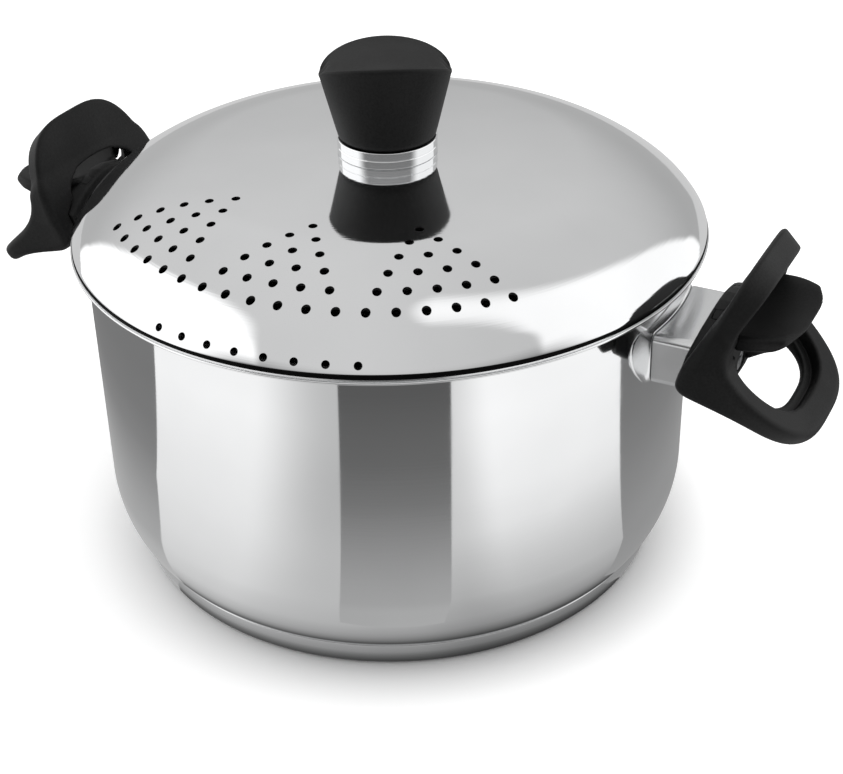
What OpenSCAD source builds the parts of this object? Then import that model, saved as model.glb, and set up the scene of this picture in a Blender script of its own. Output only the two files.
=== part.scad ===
// Stainless pasta pot with a straining lid and two lid-locking side handles.
// Millimetres, +Z up. Origin: centre of the base, on the surface the pot stands on.
// Each side handle is built in its own local frame: X points away from the pot,
// Y runs along the rim and Z is up. It is then turned to its place on the wall.

/* [Pot] */
// outside radius of the straight wall
wall_r = 120.6; // [114:0.1:132]
// sheet thickness of the pot body
wall_t = 0.8; // [0.7:0.1:1]
// height of the rim above the table
rim_h = 138.1; // [124:0.1:155]
// radius of the flared pouring lip
lip_out = 5.6; // [4.8:0.1:6]
// height of the seam between the pot body and its base cap
seam_h = 12.1; // [10:0.1:14]
// radius of the rounded lower corner
corner_r = 46; // [40:1:48]
// height of the tangent point where the corner meets the straight wall
corner_h = 39; // [36:1:41]
// how far the standing face is inside the seam
foot_in = 3.7; // [2.5:0.1:5]

/* [Lid] */
// thickness of the lid sheet
lid_t = 0.8; // [0.7:0.1:1]
// how far the lid dome stands above the rim, in the middle
dome_h = 30.3; // [28:0.1:32]
// radius of the strainer holes
hole_r = 1.9; // [1.4:0.1:2.2]
// distance between neighbouring strainer holes
hole_pitch = 10.4; // [9:0.1:11.5]
// number of triangular groups of strainer holes
groups = 3; // [1:1:3]
// holes on the outer row of one group
group_rows = 6; // [3:1:6]
// direction that the middle of the strainer faces, in degrees
strain_dir = -114.1; // [-130:0.1:-100]
// holes in the row low on the shoulder
low_holes = 8; // [4:1:12]

/* [Knob] */
// radius of the steel collar under the knob
collar_r = 19.6; // [17:0.1:22]
// height of the steel collar
collar_h = 6.6; // [5:0.1:9]
// half width of the knob at its crease
knob_a = 25.6; // [23:0.1:29]
// height of the knob body at its sides
knob_side_h = 25.6; // [22:0.1:30]
// how much higher the arched top is in the middle
knob_arch = 7; // [4:0.1:9]

/* [Handles] */
// direction of the right handle, in degrees
handle_dir = -28.5; // [-40:0.5:0]
// how far the hinge line of the moving frame is below the rim
piv_drop = 20.1; // [19.8:0.1:20.3]
// half width of the steel sleeve
sleeve_hw = 22.7; // [21:0.1:22.9]
// half width of the moving frame over its cheeks
frame_hw = 38.8; // [38:0.1:41]
// half width of the fixed block between the cheeks
block_hw = 30; // [29.5:0.1:30.2]
// half width of the thumb rest
rest_hw = 27.6; // [26:0.1:28]
// radius of the hinge pin
pin_r = 2.5; // [2:0.1:2.8]
// slope of the hanging grip ring below the horizontal, in degrees
droop = 39.7; // [37:0.1:40]

/* [Hidden] */
eps = 0.02;
gap = 0.4;
big = 400;
body_in = wall_r - wall_t;
seam_r = wall_r - corner_r + sqrt(pow(corner_r, 2) - pow(corner_h - seam_h, 2));
foot_r = seam_r - foot_in;
lip_r = wall_r + lip_out;
lid_z = rim_h + 2.8;
lid_r = lip_r - 0.6;
dome_z = rim_h + dome_h;
piv_z = rim_h - piv_drop;
cap_join = 0.6 * wall_r + 2.6;
cap_sag = 2.3;
cap_r = (pow(cap_join, 2) + pow(cap_sag, 2)) / (2 * cap_sag);
cap_a = asin(cap_join / cap_r);
// the shoulder leaves the flat cap at a tangent and comes down to the lid edge
sh_dx = lid_r - 0.9 - cap_join;
sh_dz = lid_z + 1.88 - (dome_z - cap_sag);
shoulder_r = -(pow(sh_dx, 2) + pow(sh_dz, 2)) / (2 * (sh_dx * sin(cap_a) + sh_dz * cos(cap_a)));
sh_x = cap_join - shoulder_r * sin(cap_a);
sh_z = dome_z - cap_sag - shoulder_r * cos(cap_a);
sh_end = acos((lid_r - 0.9 - sh_x) / shoulder_r);
piv_x = wall_r + 18.9;
seat_r = collar_r + 0.6;
knob_z = dome_z + collar_h;
knob_b = collar_r - 0.2;

// points of an arc, seen in the half plane that is turned about the axis
function arc(cx, cz, r, a0, a1, n) =
  [for (i = [0:n]) [cx + r * cos(a0 + (a1 - a0) * i / n), cz + r * sin(a0 + (a1 - a0) * i / n)]];

// height of the outer face of the lid dome at a distance from the middle
function dome_at(r) = r < cap_join
  ? dome_z - cap_r + sqrt(pow(cap_r, 2) - pow(r, 2))
  : sh_z + sqrt(pow(shoulder_r, 2) - pow(r - sh_x, 2));

// one half of a rounded outline that ends in a soft tip
function soft_tip(x0, len, hw, p, n) =
  [for (i = [0:n]) let (c = pow(cos(90 * i / n), 2 / p), s = pow(sin(90 * i / n), 2 / p))
    [x0 + len * c, hw * s]];

// the whole outline, symmetric about the X axis, with its own points at the back
function tip_outline(x0, len, hw, p, n, back = []) =
  let (h = soft_tip(x0, len, hw, p, n))
  concat(h, back, [for (i = [n:-1:1]) [h[i][0], -h[i][1]]]);

module at_handle(side) {
  rotate([0, 0, handle_dir + 180 * side])
    children();
}

// turn local X into the direction of the hanging ring, about the hinge line
module in_ring() {
  translate([piv_x, 0, piv_z])
    rotate([0, droop, 0])
      children();
}

// a long prism along local Y whose section is drawn in X and Z
module side_prism(pts, hw) {
  translate([0, hw, 0])
    rotate([90, 0, 0])
      linear_extrude(height = 2 * hw)
        polygon(pts);
}

module pot_body() {
  rim_c = rim_h - lip_out;
  color([0.86, 0.87, 0.88])
    rotate_extrude($fn = 128)
      polygon(concat(
        [[0, seam_h - 0.9], [seam_r - 5, seam_h - 0.9], [seam_r - 1.2, seam_h - 0.2]],
        [[seam_r, seam_h + 0.3]],
        arc(wall_r - corner_r, corner_h, corner_r, -34, 0, 7),
        [[wall_r, rim_c - 2]],
        arc(wall_r + lip_out, rim_c - 0.2, lip_out, 180, 104, 5),
        [[lip_r, rim_h - 0.9], [lip_r, rim_h - 0.1], [lip_r - 0.7, rim_h]],
        arc(wall_r + lip_out, rim_c - 0.2, lip_out + wall_t, 104, 180, 5),
        [[body_in, rim_c - 2]],
        arc(wall_r - corner_r, corner_h, corner_r - wall_t, 0, -34, 7),
        [[seam_r - 5, seam_h + 0.2], [seam_r - 10, seam_h], [0, seam_h]]));
}

module base_core() {
  color([0.72, 0.73, 0.74])
    translate([0, 0, 0.8])
      cylinder(r = foot_r - 3, h = seam_h - 1.7, $fn = 128);
}

module base_cap() {
  color([0.84, 0.85, 0.86])
    rotate_extrude($fn = 128)
      polygon(concat(
        [[0, 0], [foot_r - 3, 0], [foot_r - 0.9, 0.35], [foot_r + 0.6, 1.3]],
        [[foot_r + 2, 4.5], [foot_r + 3, 8], [seam_r - 0.3, seam_h - 0.3]],
        [[seam_r - 1.3, seam_h - 0.45], [foot_r - 3, seam_h - 1.2]],
        [[foot_r - 3, 0.8], [0, 0.8]]));
}

module dome_outline(t) {
  polygon(concat(
    [[0, dome_z - 0.1], [seat_r, dome_z - 0.1]],
    [for (i = [1:4]) let (r = seat_r + (cap_join - seat_r) * i / 4) [r, dome_at(r)]],
    arc(sh_x, sh_z, shoulder_r, 90 - cap_a - 2, sh_end, 9),
    [[lid_r, lid_z + 0.6], [lid_r + 0.3, lid_z], [lid_r, lid_z - 0.8]],
    [[lid_r - 1.1, lid_z - 1.1], [lid_r - 2.1, lid_z - 1.1], [lid_r - 2.1, lid_z - 0.3]],
    arc(sh_x, sh_z, shoulder_r - t, sh_end, 90 - cap_a - 2, 9),
    [for (i = [4:-1:1]) let (r = seat_r + (cap_join - seat_r) * i / 4) [r, dome_at(r) - t]],
    [[seat_r, dome_z - 0.1 - t], [0, dome_z - 0.1 - t]]));
}

module strainer_holes() {
  outer_r = 0.9 * wall_r;
  step = hole_pitch / outer_r * 180 / PI;
  for (g = [0:groups - 1]) {
    mid = strain_dir + (g - (groups - 1) / 2) * group_rows * step;
    for (k = [group_rows:-1:1]) {
      row_r = outer_r - (group_rows - k) * hole_pitch * (0.72 + 0.012 * (group_rows - k));
      row_step = hole_pitch / row_r * 180 / PI;
      for (j = [0:k - 1]) {
        rotate([0, 0, mid + (j - (k - 1) / 2) * row_step])
          translate([row_r, 0, lid_z])
            cylinder(r = hole_r, h = dome_h, $fn = 20);
      }
    }
  }
  for (j = [0:low_holes - 1])
    rotate([0, 0, strain_dir + 0.3 + (j - (low_holes - 1) / 2) * 5.13])
      translate([lid_r - 3.4, 0, lid_z + 1.2])
        rotate([0, 58, 0])
          translate([0, 0, -6])
            cylinder(r = hole_r, h = 12, $fn = 20);
}

module lid_shell() {
  color([0.88, 0.89, 0.9])
    difference() {
      rotate_extrude($fn = 128)
        dome_outline(lid_t);
      strainer_holes();
      translate([0, 0, dome_z - 6])
        cylinder(r = 2.7, h = 12, $fn = 32);
    }
}

// the locating ring that drops inside the pot, open under the strainer
module lid_ring() {
  in_r = body_in - 0.9;
  top = lid_z - 1.1;
  color([0.8, 0.81, 0.82])
    difference() {
      rotate_extrude($fn = 128)
        polygon([[in_r - 0.8, top - 12], [in_r, top - 12], [in_r, top - 1.2]
          , [lid_r - 1.4, top - 1.2], [lid_r - 1.4, top], [in_r - 0.8, top]]);
      for (j = [0:low_holes + 3])
        rotate([0, 0, strain_dir + (j - (low_holes + 3) / 2) * 8])
          translate([in_r, 0, top - 6.5])
            rotate([0, 90, 0])
              cylinder(r = 3.4, h = 8, center = true, $fn = 24);
    }
}

module knob_collar() {
  color([0.87, 0.88, 0.89])
    difference() {
      rotate_extrude($fn = 96)
        polygon([[0, dome_z - 0.1], [collar_r - 0.5, dome_z - 0.1], [collar_r, dome_z + 0.4]
          , [collar_r, knob_z - 0.5], [collar_r - 0.5, knob_z - 0.1], [0, knob_z - 0.1]]);
      translate([0, 0, dome_z - 2])
        cylinder(r = 2.7, h = collar_h + 4, $fn = 32);
    }
}

module knob_body() {
  base = knob_z - 0.1;
  color([0.12, 0.12, 0.12])
    difference() {
      intersection() {
        rotate([90, 0, 0])
          linear_extrude(height = 2 * big, center = true)
            polygon(concat(
              [[-collar_r + 2.4, base], [collar_r - 2.4, base], [collar_r - 0.7, base + 1.2]],
              [[collar_r, base + 3.4], [knob_a - 0.3, base + knob_side_h - 1.6]],
              [[knob_a, base + knob_side_h]],
              [for (i = [1:15]) let (x = (knob_a - 0.5) * cos(180 * i / 16))
                [x, base + knob_side_h + 0.6 + knob_arch * sin(180 * i / 16)]],
              [[-knob_a, base + knob_side_h], [-knob_a + 0.3, base + knob_side_h - 1.6]],
              [[-collar_r, base + 3.4], [-collar_r + 0.7, base + 1.2]]));
        linear_extrude(height = big)
          polygon([for (i = [0:71]) [knob_a * cos(5 * i), knob_b * sin(5 * i)]]);
        translate([0, 0, base])
          rotate_extrude($fn = 96)
            polygon([[0, 0], [collar_r - 2.4, 0], [collar_r - 0.7, 1.2], [collar_r, 3.4]
              , [knob_a + 1, knob_side_h - 1], [knob_a + 1, big], [0, big]]);
      }
      translate([0, 0, base - 1])
        cylinder(r = 2.45, h = 15, $fn = 32);
    }
}

module knob_screw() {
  head = dome_z - 0.1 - lid_t - 1.2;
  color([0.7, 0.7, 0.72])
    difference() {
      union() {
        translate([0, 0, head - 2.8])
          cylinder(r = 4.6, h = 2.8, $fn = 48);
        translate([0, 0, head - eps])
          cylinder(r = 2.4, h = knob_z + 12 - head, $fn = 32);
      }
      translate([0, 0, head - 3])
        cube([6, 1.2, 3], center = true);
      translate([0, 0, head - 3])
        cube([1.2, 6, 3], center = true);
    }
}

module knob_washer() {
  color([0.75, 0.75, 0.76])
    translate([0, 0, dome_z - 0.1 - lid_t - 1.2])
      difference() {
        cylinder(r = 10, h = 1.2, $fn = 48);
        translate([0, 0, -1])
          cylinder(r = 2.7, h = 4, $fn = 32);
      }
}

// steel foot of the handle: it hugs the wall and flares to both sides
module saddle() {
  z = piv_z;
  color([0.85, 0.86, 0.87])
    difference() {
      union() {
        intersection() {
          cylinder(r = wall_r + 1.8, h = rim_h - lip_out - 2.5, $fn = 128);
          rotate([90, 0, 90])
            linear_extrude(height = big)
              polygon([[-34.5, z + 7], [-34.3, z + 1], [-28.4, z - 6], [-23.2, z - 11.8]
                , [-18, z - 16], [18, z - 16], [23.2, z - 11.8], [28.4, z - 6]
                , [34.3, z + 1], [34.5, z + 7], [28, z + 11], [-28, z + 11]]);
        }
        intersection() {
          cylinder(r = wall_r + 4, h = rim_h - lip_out - 2.5, $fn = 128);
          rotate([90, 0, 90])
            linear_extrude(height = big)
              polygon([[-28, z + 5], [-27, z - 2], [-24, z - 9], [-16, z - 14.5]
                , [16, z - 14.5], [24, z - 9], [27, z - 2], [28, z + 5], [24, z + 9], [-24, z + 9]]);
        }
      }
      translate([0, 0, -1])
        cylinder(r = wall_r + eps, h = big, $fn = 128);
      sleeve_core();
    }
}

// the solid outer shape of the steel sleeve
module sleeve_core() {
  r = 3;
  hw = sleeve_hw - r;
  hh = 10.4 - r;
  intersection() {
    translate([wall_r - 8, 0, piv_z - 3])
      rotate([90, 0, 90])
        linear_extrude(height = 40)
          union() {
            for (sy = [-1, 1], sz = [-1, 1])
              translate([sy * hw, sz * hh])
                circle(r = r, $fn = 40);
            square([2 * hw, 2 * (hh + r)], center = true);
            square([2 * (hw + r), 2 * hh], center = true);
          }
    side_prism([[wall_r - 9, piv_z - 30], [wall_r + 9.3, piv_z - 14], [wall_r + 16.9, piv_z + 15]
      , [wall_r - 9, piv_z + 30]], 60);
  }
}

module sleeve() {
  color([0.83, 0.84, 0.85])
    difference() {
      sleeve_core();
      sleeve_hollow();
      translate([0, 0, -1])
        cylinder(r = wall_r + eps, h = big, $fn = 128);
    }
}

module sleeve_hollow() {
  hw = sleeve_hw - 1;
  translate([wall_r - 10, 0, piv_z - 3])
    rotate([90, 0, 90])
      linear_extrude(height = 60)
        square([2 * hw - 2, 18.2], center = true);
}

// welded threaded boss inside the sleeve
module stud() {
  color([0.7, 0.71, 0.72])
    difference() {
      translate([wall_r - 6, 0, piv_z - 5])
        rotate([0, 90, 0])
          cylinder(r = 5, h = 12, $fn = 40);
      translate([wall_r - 8, 0, piv_z - 5])
        rotate([0, 90, 0])
          cylinder(r = 2.5, h = 30, $fn = 32);
      translate([0, 0, -1])
        cylinder(r = wall_r + eps, h = big, $fn = 128);
    }
}

// barrel of the fixed block: a solid of revolution about the hinge line
module barrel(grow, hw, core = 0) {
  translate([piv_x, 0, piv_z])
    rotate([90, 0, 0])
      rotate_extrude($fn = 96)
        polygon([[core, -hw], [7.8 + grow, -hw], [11 + grow, -24], [13.7 + grow, -18]
          , [16.3 + grow, -9], [17.3 + grow, -3.5], [17.3 + grow, 3.5]
          , [16.3 + grow, 9], [13.7 + grow, 18]
          , [11 + grow, 24], [7.8 + grow, hw], [core, hw]]);
}

// way through the block for its screw, with room for the head
module screw_way() {
  translate([wall_r, 0, piv_z - 7.6])
    rotate([0, 90, 0])
      cylinder(r = 2.7, h = 60, $fn = 32);
  translate([piv_x + 4.5, 0, piv_z - 7.6])
    rotate([0, 90, 0])
      cylinder(r = 5, h = 30, $fn = 40);
}

module block() {
  color([0.1, 0.1, 0.1])
    difference() {
      union() {
        intersection() {
          barrel(0, block_hw, pin_r + 0.02);
          side_prism([[wall_r + 9.32, piv_z - 14], [piv_x + 8, piv_z - 14]
            , [piv_x + 9.5, piv_z + 9], [piv_x + 14, piv_z + 12]
            , [piv_x + 14, piv_z + 20], [wall_r + 18.22, piv_z + 20]], 60);
        }
        translate([wall_r + 6.4, 0, piv_z - 3])
          rotate([90, 0, 90])
            linear_extrude(height = 9.3)
              square([2 * sleeve_hw - 4.4, 17.8], center = true);
      }
      screw_way();
      rest_root(0.05);
    }
}

// tenon of the thumb rest, set into the top of the block
module rest_root(grow) {
  translate([piv_x - 0.4, -14 - grow, piv_z + 6])
    cube([30, 28 + 2 * grow, 9.6 + grow]);
}

module thumb_rest() {
  top = rim_h - 3.2;
  tip = wall_r + 53.3;
  color([0.14, 0.14, 0.14])
    difference() {
      union() {
        intersection() {
          translate([0, 0, top - 20])
            linear_extrude(height = 30)
              polygon(tip_outline(tip - 21.2, 21.2, rest_hw, 2.7, 14
                , [[tip - 23.2, rest_hw - 2], [tip - 26, 20.5], [piv_x + 9, 19.5], [piv_x + 4, 13]
                , [piv_x + 4, -13], [piv_x + 9, -19.5], [tip - 26, -20.5], [tip - 23.2, 2 - rest_hw]]));
          side_prism([[piv_x + 2, piv_z + 10.4], [piv_x + 14, piv_z + 10.9], [piv_x + 25.4, piv_z + 12.7]
            , [piv_x + 29.6, piv_z + 14.2], [tip + 1, top - 1.9], [tip + 1, top + 1.3]
            , [piv_x + 2, top - 0.4]], 60);
        }
        intersection() {
          rest_root(0);
          side_prism([[piv_x - 0.4, piv_z + 6], [piv_x + 10, piv_z + 6], [piv_x + 14, piv_z + 11]
            , [piv_x + 14, top], [piv_x - 0.4, top]], 60);
        }
      }
      translate([tip - 17, 0, top + 97.8])
        sphere(r = 100, $fn = 120);
      rest_clear();
    }
}

// the thumb rest stops at the crown of the block outside its tenon
module rest_clear() {
  difference() {
    barrel(0.05, block_hw);
    rest_root(0);
  }
}

module handle_screw() {
  x0 = wall_r + 1.5;
  color([0.7, 0.7, 0.72])
    difference() {
      union() {
        translate([x0 + 5.5, 0, piv_z - 7.6])
          rotate([0, 90, 0])
            cylinder(r = 2.4, h = piv_x + 4.5 - x0 - 5.5 + eps, $fn = 32);
        translate([piv_x + 4.5, 0, piv_z - 7.6])
          rotate([0, 90, 0])
            cylinder(r = 4.6, h = 3, $fn = 40);
      }
      translate([piv_x + 7, 0, piv_z - 7.6])
        cube([2, 5.5, 1.2], center = true);
      translate([piv_x + 7, 0, piv_z - 7.6])
        cube([2, 1.2, 5.5], center = true);
    }
}

module hinge_pin() {
  color([0.75, 0.75, 0.76])
    translate([piv_x, 0, piv_z])
      rotate([90, 0, 0])
        cylinder(r = pin_r, h = 2 * block_hw + 10, center = true, $fn = 40);
}

// room for the shoulders of the thumb rest while the frame hangs open
module rest_room() {
  tip = wall_r + 53.3;
  translate([0, 0, piv_z + 8.6])
    linear_extrude(height = rim_h - piv_z - 8.6)
      polygon(tip_outline(tip - 21.6, 22.6, rest_hw + 0.8, 2.7, 14
        , [[tip - 24.4, rest_hw - 0.8], [tip - 27, 21.6], [piv_x + 6, 21.6]
        , [piv_x + 6, -21.6], [tip - 27, -21.6], [tip - 24.4, 0.8 - rest_hw]]));
}

// side view of the frame from the hinge line: grip ring, waist and cheek in one line
function frame_side() =
  [[-2.2, 7.2], [-4, 3.3], [-4.7, -1.5], [-4.4, -4], [-2.4, -5.9], [0.5, -7], [7.9, -9.1]
    , [15.2, -11.6], [22, -14.8], [28.3, -18.9], [38.3, -25.9], [41.5, -26.7], [43.6, -25.8]
    , [44.8, -23.6], [43.7, -21.7], [27.6, -8.2], [19.5, -1.2], [16.8, 1.9], [14.6, 4.8]
    , [13.1, 8.2], [12.3, 12.4], [12.9, 16.4], [5.6, 20]];

// flap, cheeks and grip ring in one moulding
module frame() {
  ring_tip = 48.5;
  color([0.09, 0.09, 0.09])
    difference() {
      union() {
        // cheeks and side bars, cut to the outline of the ring
        intersection() {
          side_prism([for (q = frame_side()) [piv_x + q[0], piv_z + q[1]]], 60);
          in_ring()
            translate([0, 0, -60])
              linear_extrude(height = 120)
                polygon(tip_outline(-4.1, ring_tip + 4.1, frame_hw, 3.1, 16
                  , [[-30, frame_hw - 4], [-30, 4 - frame_hw]]));
        }
        flap();
      }
      // room for the barrel of the block, at every angle of the frame
      barrel(gap, block_hw + gap);
      // the eye of the ring, with a step that the thumb rest settles into
      in_ring()
        translate([0, 0, -60])
          linear_extrude(height = 90)
            polygon(tip_outline(6, 27.4, 25.2, 3, 12, [[-6, 25.2], [-6, -25.2]]));
      in_ring()
        translate([0, 0, 6.8])
          linear_extrude(height = 40)
            polygon(tip_outline(7, 30, 28.6, 3, 12));
      rest_room();
      // the arch in the flap that the thumb rest passes through
      translate([piv_x - 20, 0, piv_z + 9])
        rotate([90, 0, 90])
          linear_extrude(height = 60)
            polygon(concat([[-22, -6], [22, -6]]
              , [for (i = [0:12]) [22 * pow(cos(15 * i), 1) * 1, 11.4 * pow(sin(15 * i), 0.7)]]));
      translate([piv_x, 0, piv_z])
        rotate([90, 0, 0])
          cylinder(r = pin_r + 0.06, h = 2 * block_hw + 10.6, center = true, $fn = 40);
    }
}

// the flap leans outwards; its flat inner face lies in the leaning plane
module flap() {
  lean = 67.7;
  top = 44.4;
  translate([wall_r + 16.1, 0, piv_z - 0.6])
    rotate([0, -lean, 0])
      intersection() {
        side_prism([[-1, 0], [top + 1, 0], [top - 1.6, -13], [40, -12.5], [36, -11.2]
          , [30, -9.2], [24, -8.2], [16, -7.8], [-1, -7.8]], 60);
        translate([0, 0, -20])
          linear_extrude(height = 20)
            polygon(tip_outline(1, top - 1, frame_hw - 1.9, 3.4, 14
              , [[-1, frame_hw - 1.9], [-1, 1.9 - frame_hw]]));
      }
}

pot_body();
base_core();
base_cap();
lid_shell();
lid_ring();
knob_collar();
knob_body();
knob_screw();
knob_washer();
at_handle(0) saddle();  // saddle_right
at_handle(0) sleeve();  // sleeve_right
at_handle(0) stud();  // stud_right
at_handle(0) block();  // block_right
at_handle(0) thumb_rest();  // rest_right
at_handle(0) handle_screw();  // screw_right
at_handle(0) hinge_pin();  // pin_right
at_handle(0) frame();  // frame_right
at_handle(1) saddle();  // saddle_left
at_handle(1) sleeve();  // sleeve_left
at_handle(1) stud();  // stud_left
at_handle(1) block();  // block_left
at_handle(1) thumb_rest();  // rest_left
at_handle(1) handle_screw();  // screw_left
at_handle(1) hinge_pin();  // pin_left
at_handle(1) frame();  // frame_left
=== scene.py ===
# %% [markdown]
# # A pasta pot whose handles lock the lid
# The pot is drawn from one sheet of stainless steel and polished like a mirror. Its lid has strainer
# holes, and each side handle carries a black frame that swings up and holds the lid while water is
# poured off. Polished steel shows the room around it, so this lesson spends as much care on exact
# surfaces and on the studio as on the colours. We start with the measured parts from the workshop.

# %% Load the measured parts
import math
import bmesh
import bpy
import numpy as np
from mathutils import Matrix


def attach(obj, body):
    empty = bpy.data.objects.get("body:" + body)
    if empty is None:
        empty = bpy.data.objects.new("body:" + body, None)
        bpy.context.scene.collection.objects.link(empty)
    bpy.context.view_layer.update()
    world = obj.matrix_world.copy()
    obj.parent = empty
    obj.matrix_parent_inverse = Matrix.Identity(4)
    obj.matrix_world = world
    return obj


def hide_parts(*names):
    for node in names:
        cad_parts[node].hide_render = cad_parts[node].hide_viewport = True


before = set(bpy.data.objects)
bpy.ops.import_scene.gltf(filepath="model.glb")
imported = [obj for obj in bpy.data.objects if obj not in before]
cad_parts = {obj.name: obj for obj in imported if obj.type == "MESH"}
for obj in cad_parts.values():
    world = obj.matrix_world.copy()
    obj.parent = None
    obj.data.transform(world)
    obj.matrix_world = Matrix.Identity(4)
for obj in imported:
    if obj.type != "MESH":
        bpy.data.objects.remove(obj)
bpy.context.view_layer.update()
MM = 0.001
print("measured parts:", len(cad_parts))

# %% [markdown]
# ## The sizes of the real pot
# These are the sizes a maker would read off a drawing, in millimetres. Everything below is built from
# them, so that the dressed pieces lie exactly on the measured ones and the joints still fit.

# %% Sizes
WALL_R = 120.6
WALL_T = 0.8
RIM_H = 138.1
LIP = 5.6
SEAM_H = 12.1
CORNER_R = 46.0
CORNER_H = 39.0
SEAM_R = WALL_R - CORNER_R + math.sqrt(CORNER_R ** 2 - (CORNER_H - SEAM_H) ** 2)
FOOT_R = SEAM_R - 3.7
LIP_R = WALL_R + LIP
LID_Z = RIM_H + 2.8
LID_R = LIP_R - 0.6
LID_T = 0.8
DOME_Z = RIM_H + 30.3
SEAT_Z = DOME_Z - 0.1
COLLAR_R = 19.6
KNOB_Z = DOME_Z + 6.6
PIV_OUT = 18.9
PIV_X = WALL_R + PIV_OUT
PIV_Z = RIM_H - 20.1
HANDLE_DIR = math.radians(-28.5)
print("rim", round(2 * LIP_R, 1), "mm over the lip, seam radius", round(SEAM_R, 1))

# %% [markdown]
# ## Turning a profile
# Pot, lid, collar and base are all turned forms, as on a spinning lathe. Blender's Screw modifier could
# do it, but a mirror finish shows every facet, so we place the rings ourselves and hand Blender the
# exact surface directions. Each profile is a closed loop of (radius, height) points.

# %% Profile helpers
def arc_points(cx, cz, r, a0, a1, n):
    """Points of an arc in the radius and height plane, angles in degrees."""
    angles = [math.radians(a0 + (a1 - a0) * i / n) for i in range(n + 1)]
    return [(cx + r * math.cos(a), cz + r * math.sin(a)) for a in angles]


def split_long(points, longest):
    """Add points on long straight stretches, so the faces stay even in size."""
    out = []
    for i, a in enumerate(points):
        b = points[(i + 1) % len(points)]
        parts = max(1, math.ceil(math.dist(a, b) / longest))
        for k in range(parts):
            t = k / parts
            out.append((a[0] + (b[0] - a[0]) * t, a[1] + (b[1] - a[1]) * t))
    return out


def profile_normals(points):
    """Outward direction at each point of a closed loop that runs counter-clockwise."""
    p = np.array(points)
    ahead = np.roll(p, -1, 0) - p
    length = np.linalg.norm(ahead, axis=1)
    side = np.stack([ahead[:, 1], -ahead[:, 0]], 1)
    total = side + np.roll(side, 1, 0)
    size = np.linalg.norm(total, axis=1)
    size[size < 1e-9] = 1
    return total / size[:, None], side / np.maximum(length, 1e-9)[:, None]


print("profile helpers are ready")

# %% [markdown]
# A smooth mesh usually guesses its surface directions from its faces. A turned form knows them, so we
# hand them over with every point, and the mirror stays calm even where the faces are long.

# %% Turning helpers
def make_mesh(name, points, faces, normals=None):
    """A smooth shaded object from points in millimetres."""
    mesh = bpy.data.meshes.new(name)
    mesh.from_pydata((np.array(points) * MM).tolist(), [], faces)
    mesh.validate()
    mesh.shade_smooth()
    if normals is not None:
        mesh.normals_split_custom_set_from_vertices(np.array(normals).tolist())
    obj = bpy.data.objects.new(name, mesh)
    bpy.context.scene.collection.objects.link(obj)
    return obj


def turned(name, profile, segments):
    """Turn a closed profile about the Z axis. Points on the axis become one shared point."""
    area = sum(a[0] * b[1] - b[0] * a[1] for a, b in zip(profile, profile[1:] + profile[:1]))
    loop = profile if area > 0 else profile[::-1]
    normal, _ = profile_normals(loop)
    points = []
    normals = []
    ring = []
    turn = [2 * math.pi * k / segments for k in range(segments)]
    for (r, z), n in zip(loop, normal):
        if r < 1e-6:
            ring.append([len(points)] * segments)
            points.append((0, 0, z))
            normals.append((0, 0, 1.0 if n[1] > 0 else -1.0))
            continue
        start = len(points)
        ring.append(list(range(start, start + segments)))
        for a in turn:
            points.append((r * math.cos(a), r * math.sin(a), z))
            normals.append((n[0] * math.cos(a), n[0] * math.sin(a), n[1]))
    faces = []
    for i in range(len(loop)):
        a = ring[i]
        b = ring[(i + 1) % len(loop)]
        for k in range(segments):
            m = (k + 1) % segments
            face = [a[k], a[m], b[m], b[k]]
            face = [v for j, v in enumerate(face) if v not in face[:j]]
            if len(face) > 2:
                faces.append(face)
    return make_mesh(name, points, faces, normals)


print("turning helpers are ready")

# %% [markdown]
# ## The drawn pot
# The wall is straight, the lower corner is one large arc and the rim rolls outward into a pouring lip.
# The sheet is 0.8 mm thick everywhere, so the inner profile is the outer one moved in by that much.

# %% Pot shell
LIP_BEND = 2.4
BEAD_R = 0.5
CORNER_START = -34


def pot_profile():
    rim_r = WALL_R + LIP_BEND
    rim_z = RIM_H - WALL_T - LIP_BEND
    corner_x = WALL_R - CORNER_R
    bottom = [(0, SEAM_H - 0.9), (SEAM_R - 5, SEAM_H - 0.9), (SEAM_R - 1.2, SEAM_H - 0.2)]
    bottom += [(SEAM_R, SEAM_H + 0.3)]
    corner = arc_points(corner_x, CORNER_H, CORNER_R, CORNER_START, 0, 40)
    lip = arc_points(rim_r, rim_z, LIP_BEND, 180, 91, 12) + [(LIP_R - 0.7, RIM_H - 0.82)]
    bead = arc_points(LIP_R - 0.52, RIM_H - 0.42, BEAD_R, -70, 85, 9) + [(LIP_R - 1.0, RIM_H)]
    lip_in = arc_points(rim_r, rim_z, LIP_BEND + WALL_T, 89, 180, 14)
    corner_in = arc_points(corner_x, CORNER_H, CORNER_R - WALL_T, 0, CORNER_START, 40)
    floor = [(SEAM_R - 5, SEAM_H + 0.2), (SEAM_R - 10, SEAM_H), (0, SEAM_H)]
    return split_long(bottom + corner + lip + bead + lip_in + corner_in + floor, 6)


SIDES = 288
pot_shell = turned("Pot_drawn_shell", pot_profile(), SIDES)
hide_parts("pot_body")
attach(pot_shell, "pot")
print("pot shell faces:", len(pot_shell.data.polygons))

# %% [markdown]
# ## The base
# A cap of steel under the pot encloses an aluminium disc that spreads the heat. Only the edge of the
# cap is seen, as a bright band under a thin dark seam, so the seam gets its own small groove.

# %% Base cap
CAP_T = 0.8


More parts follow.
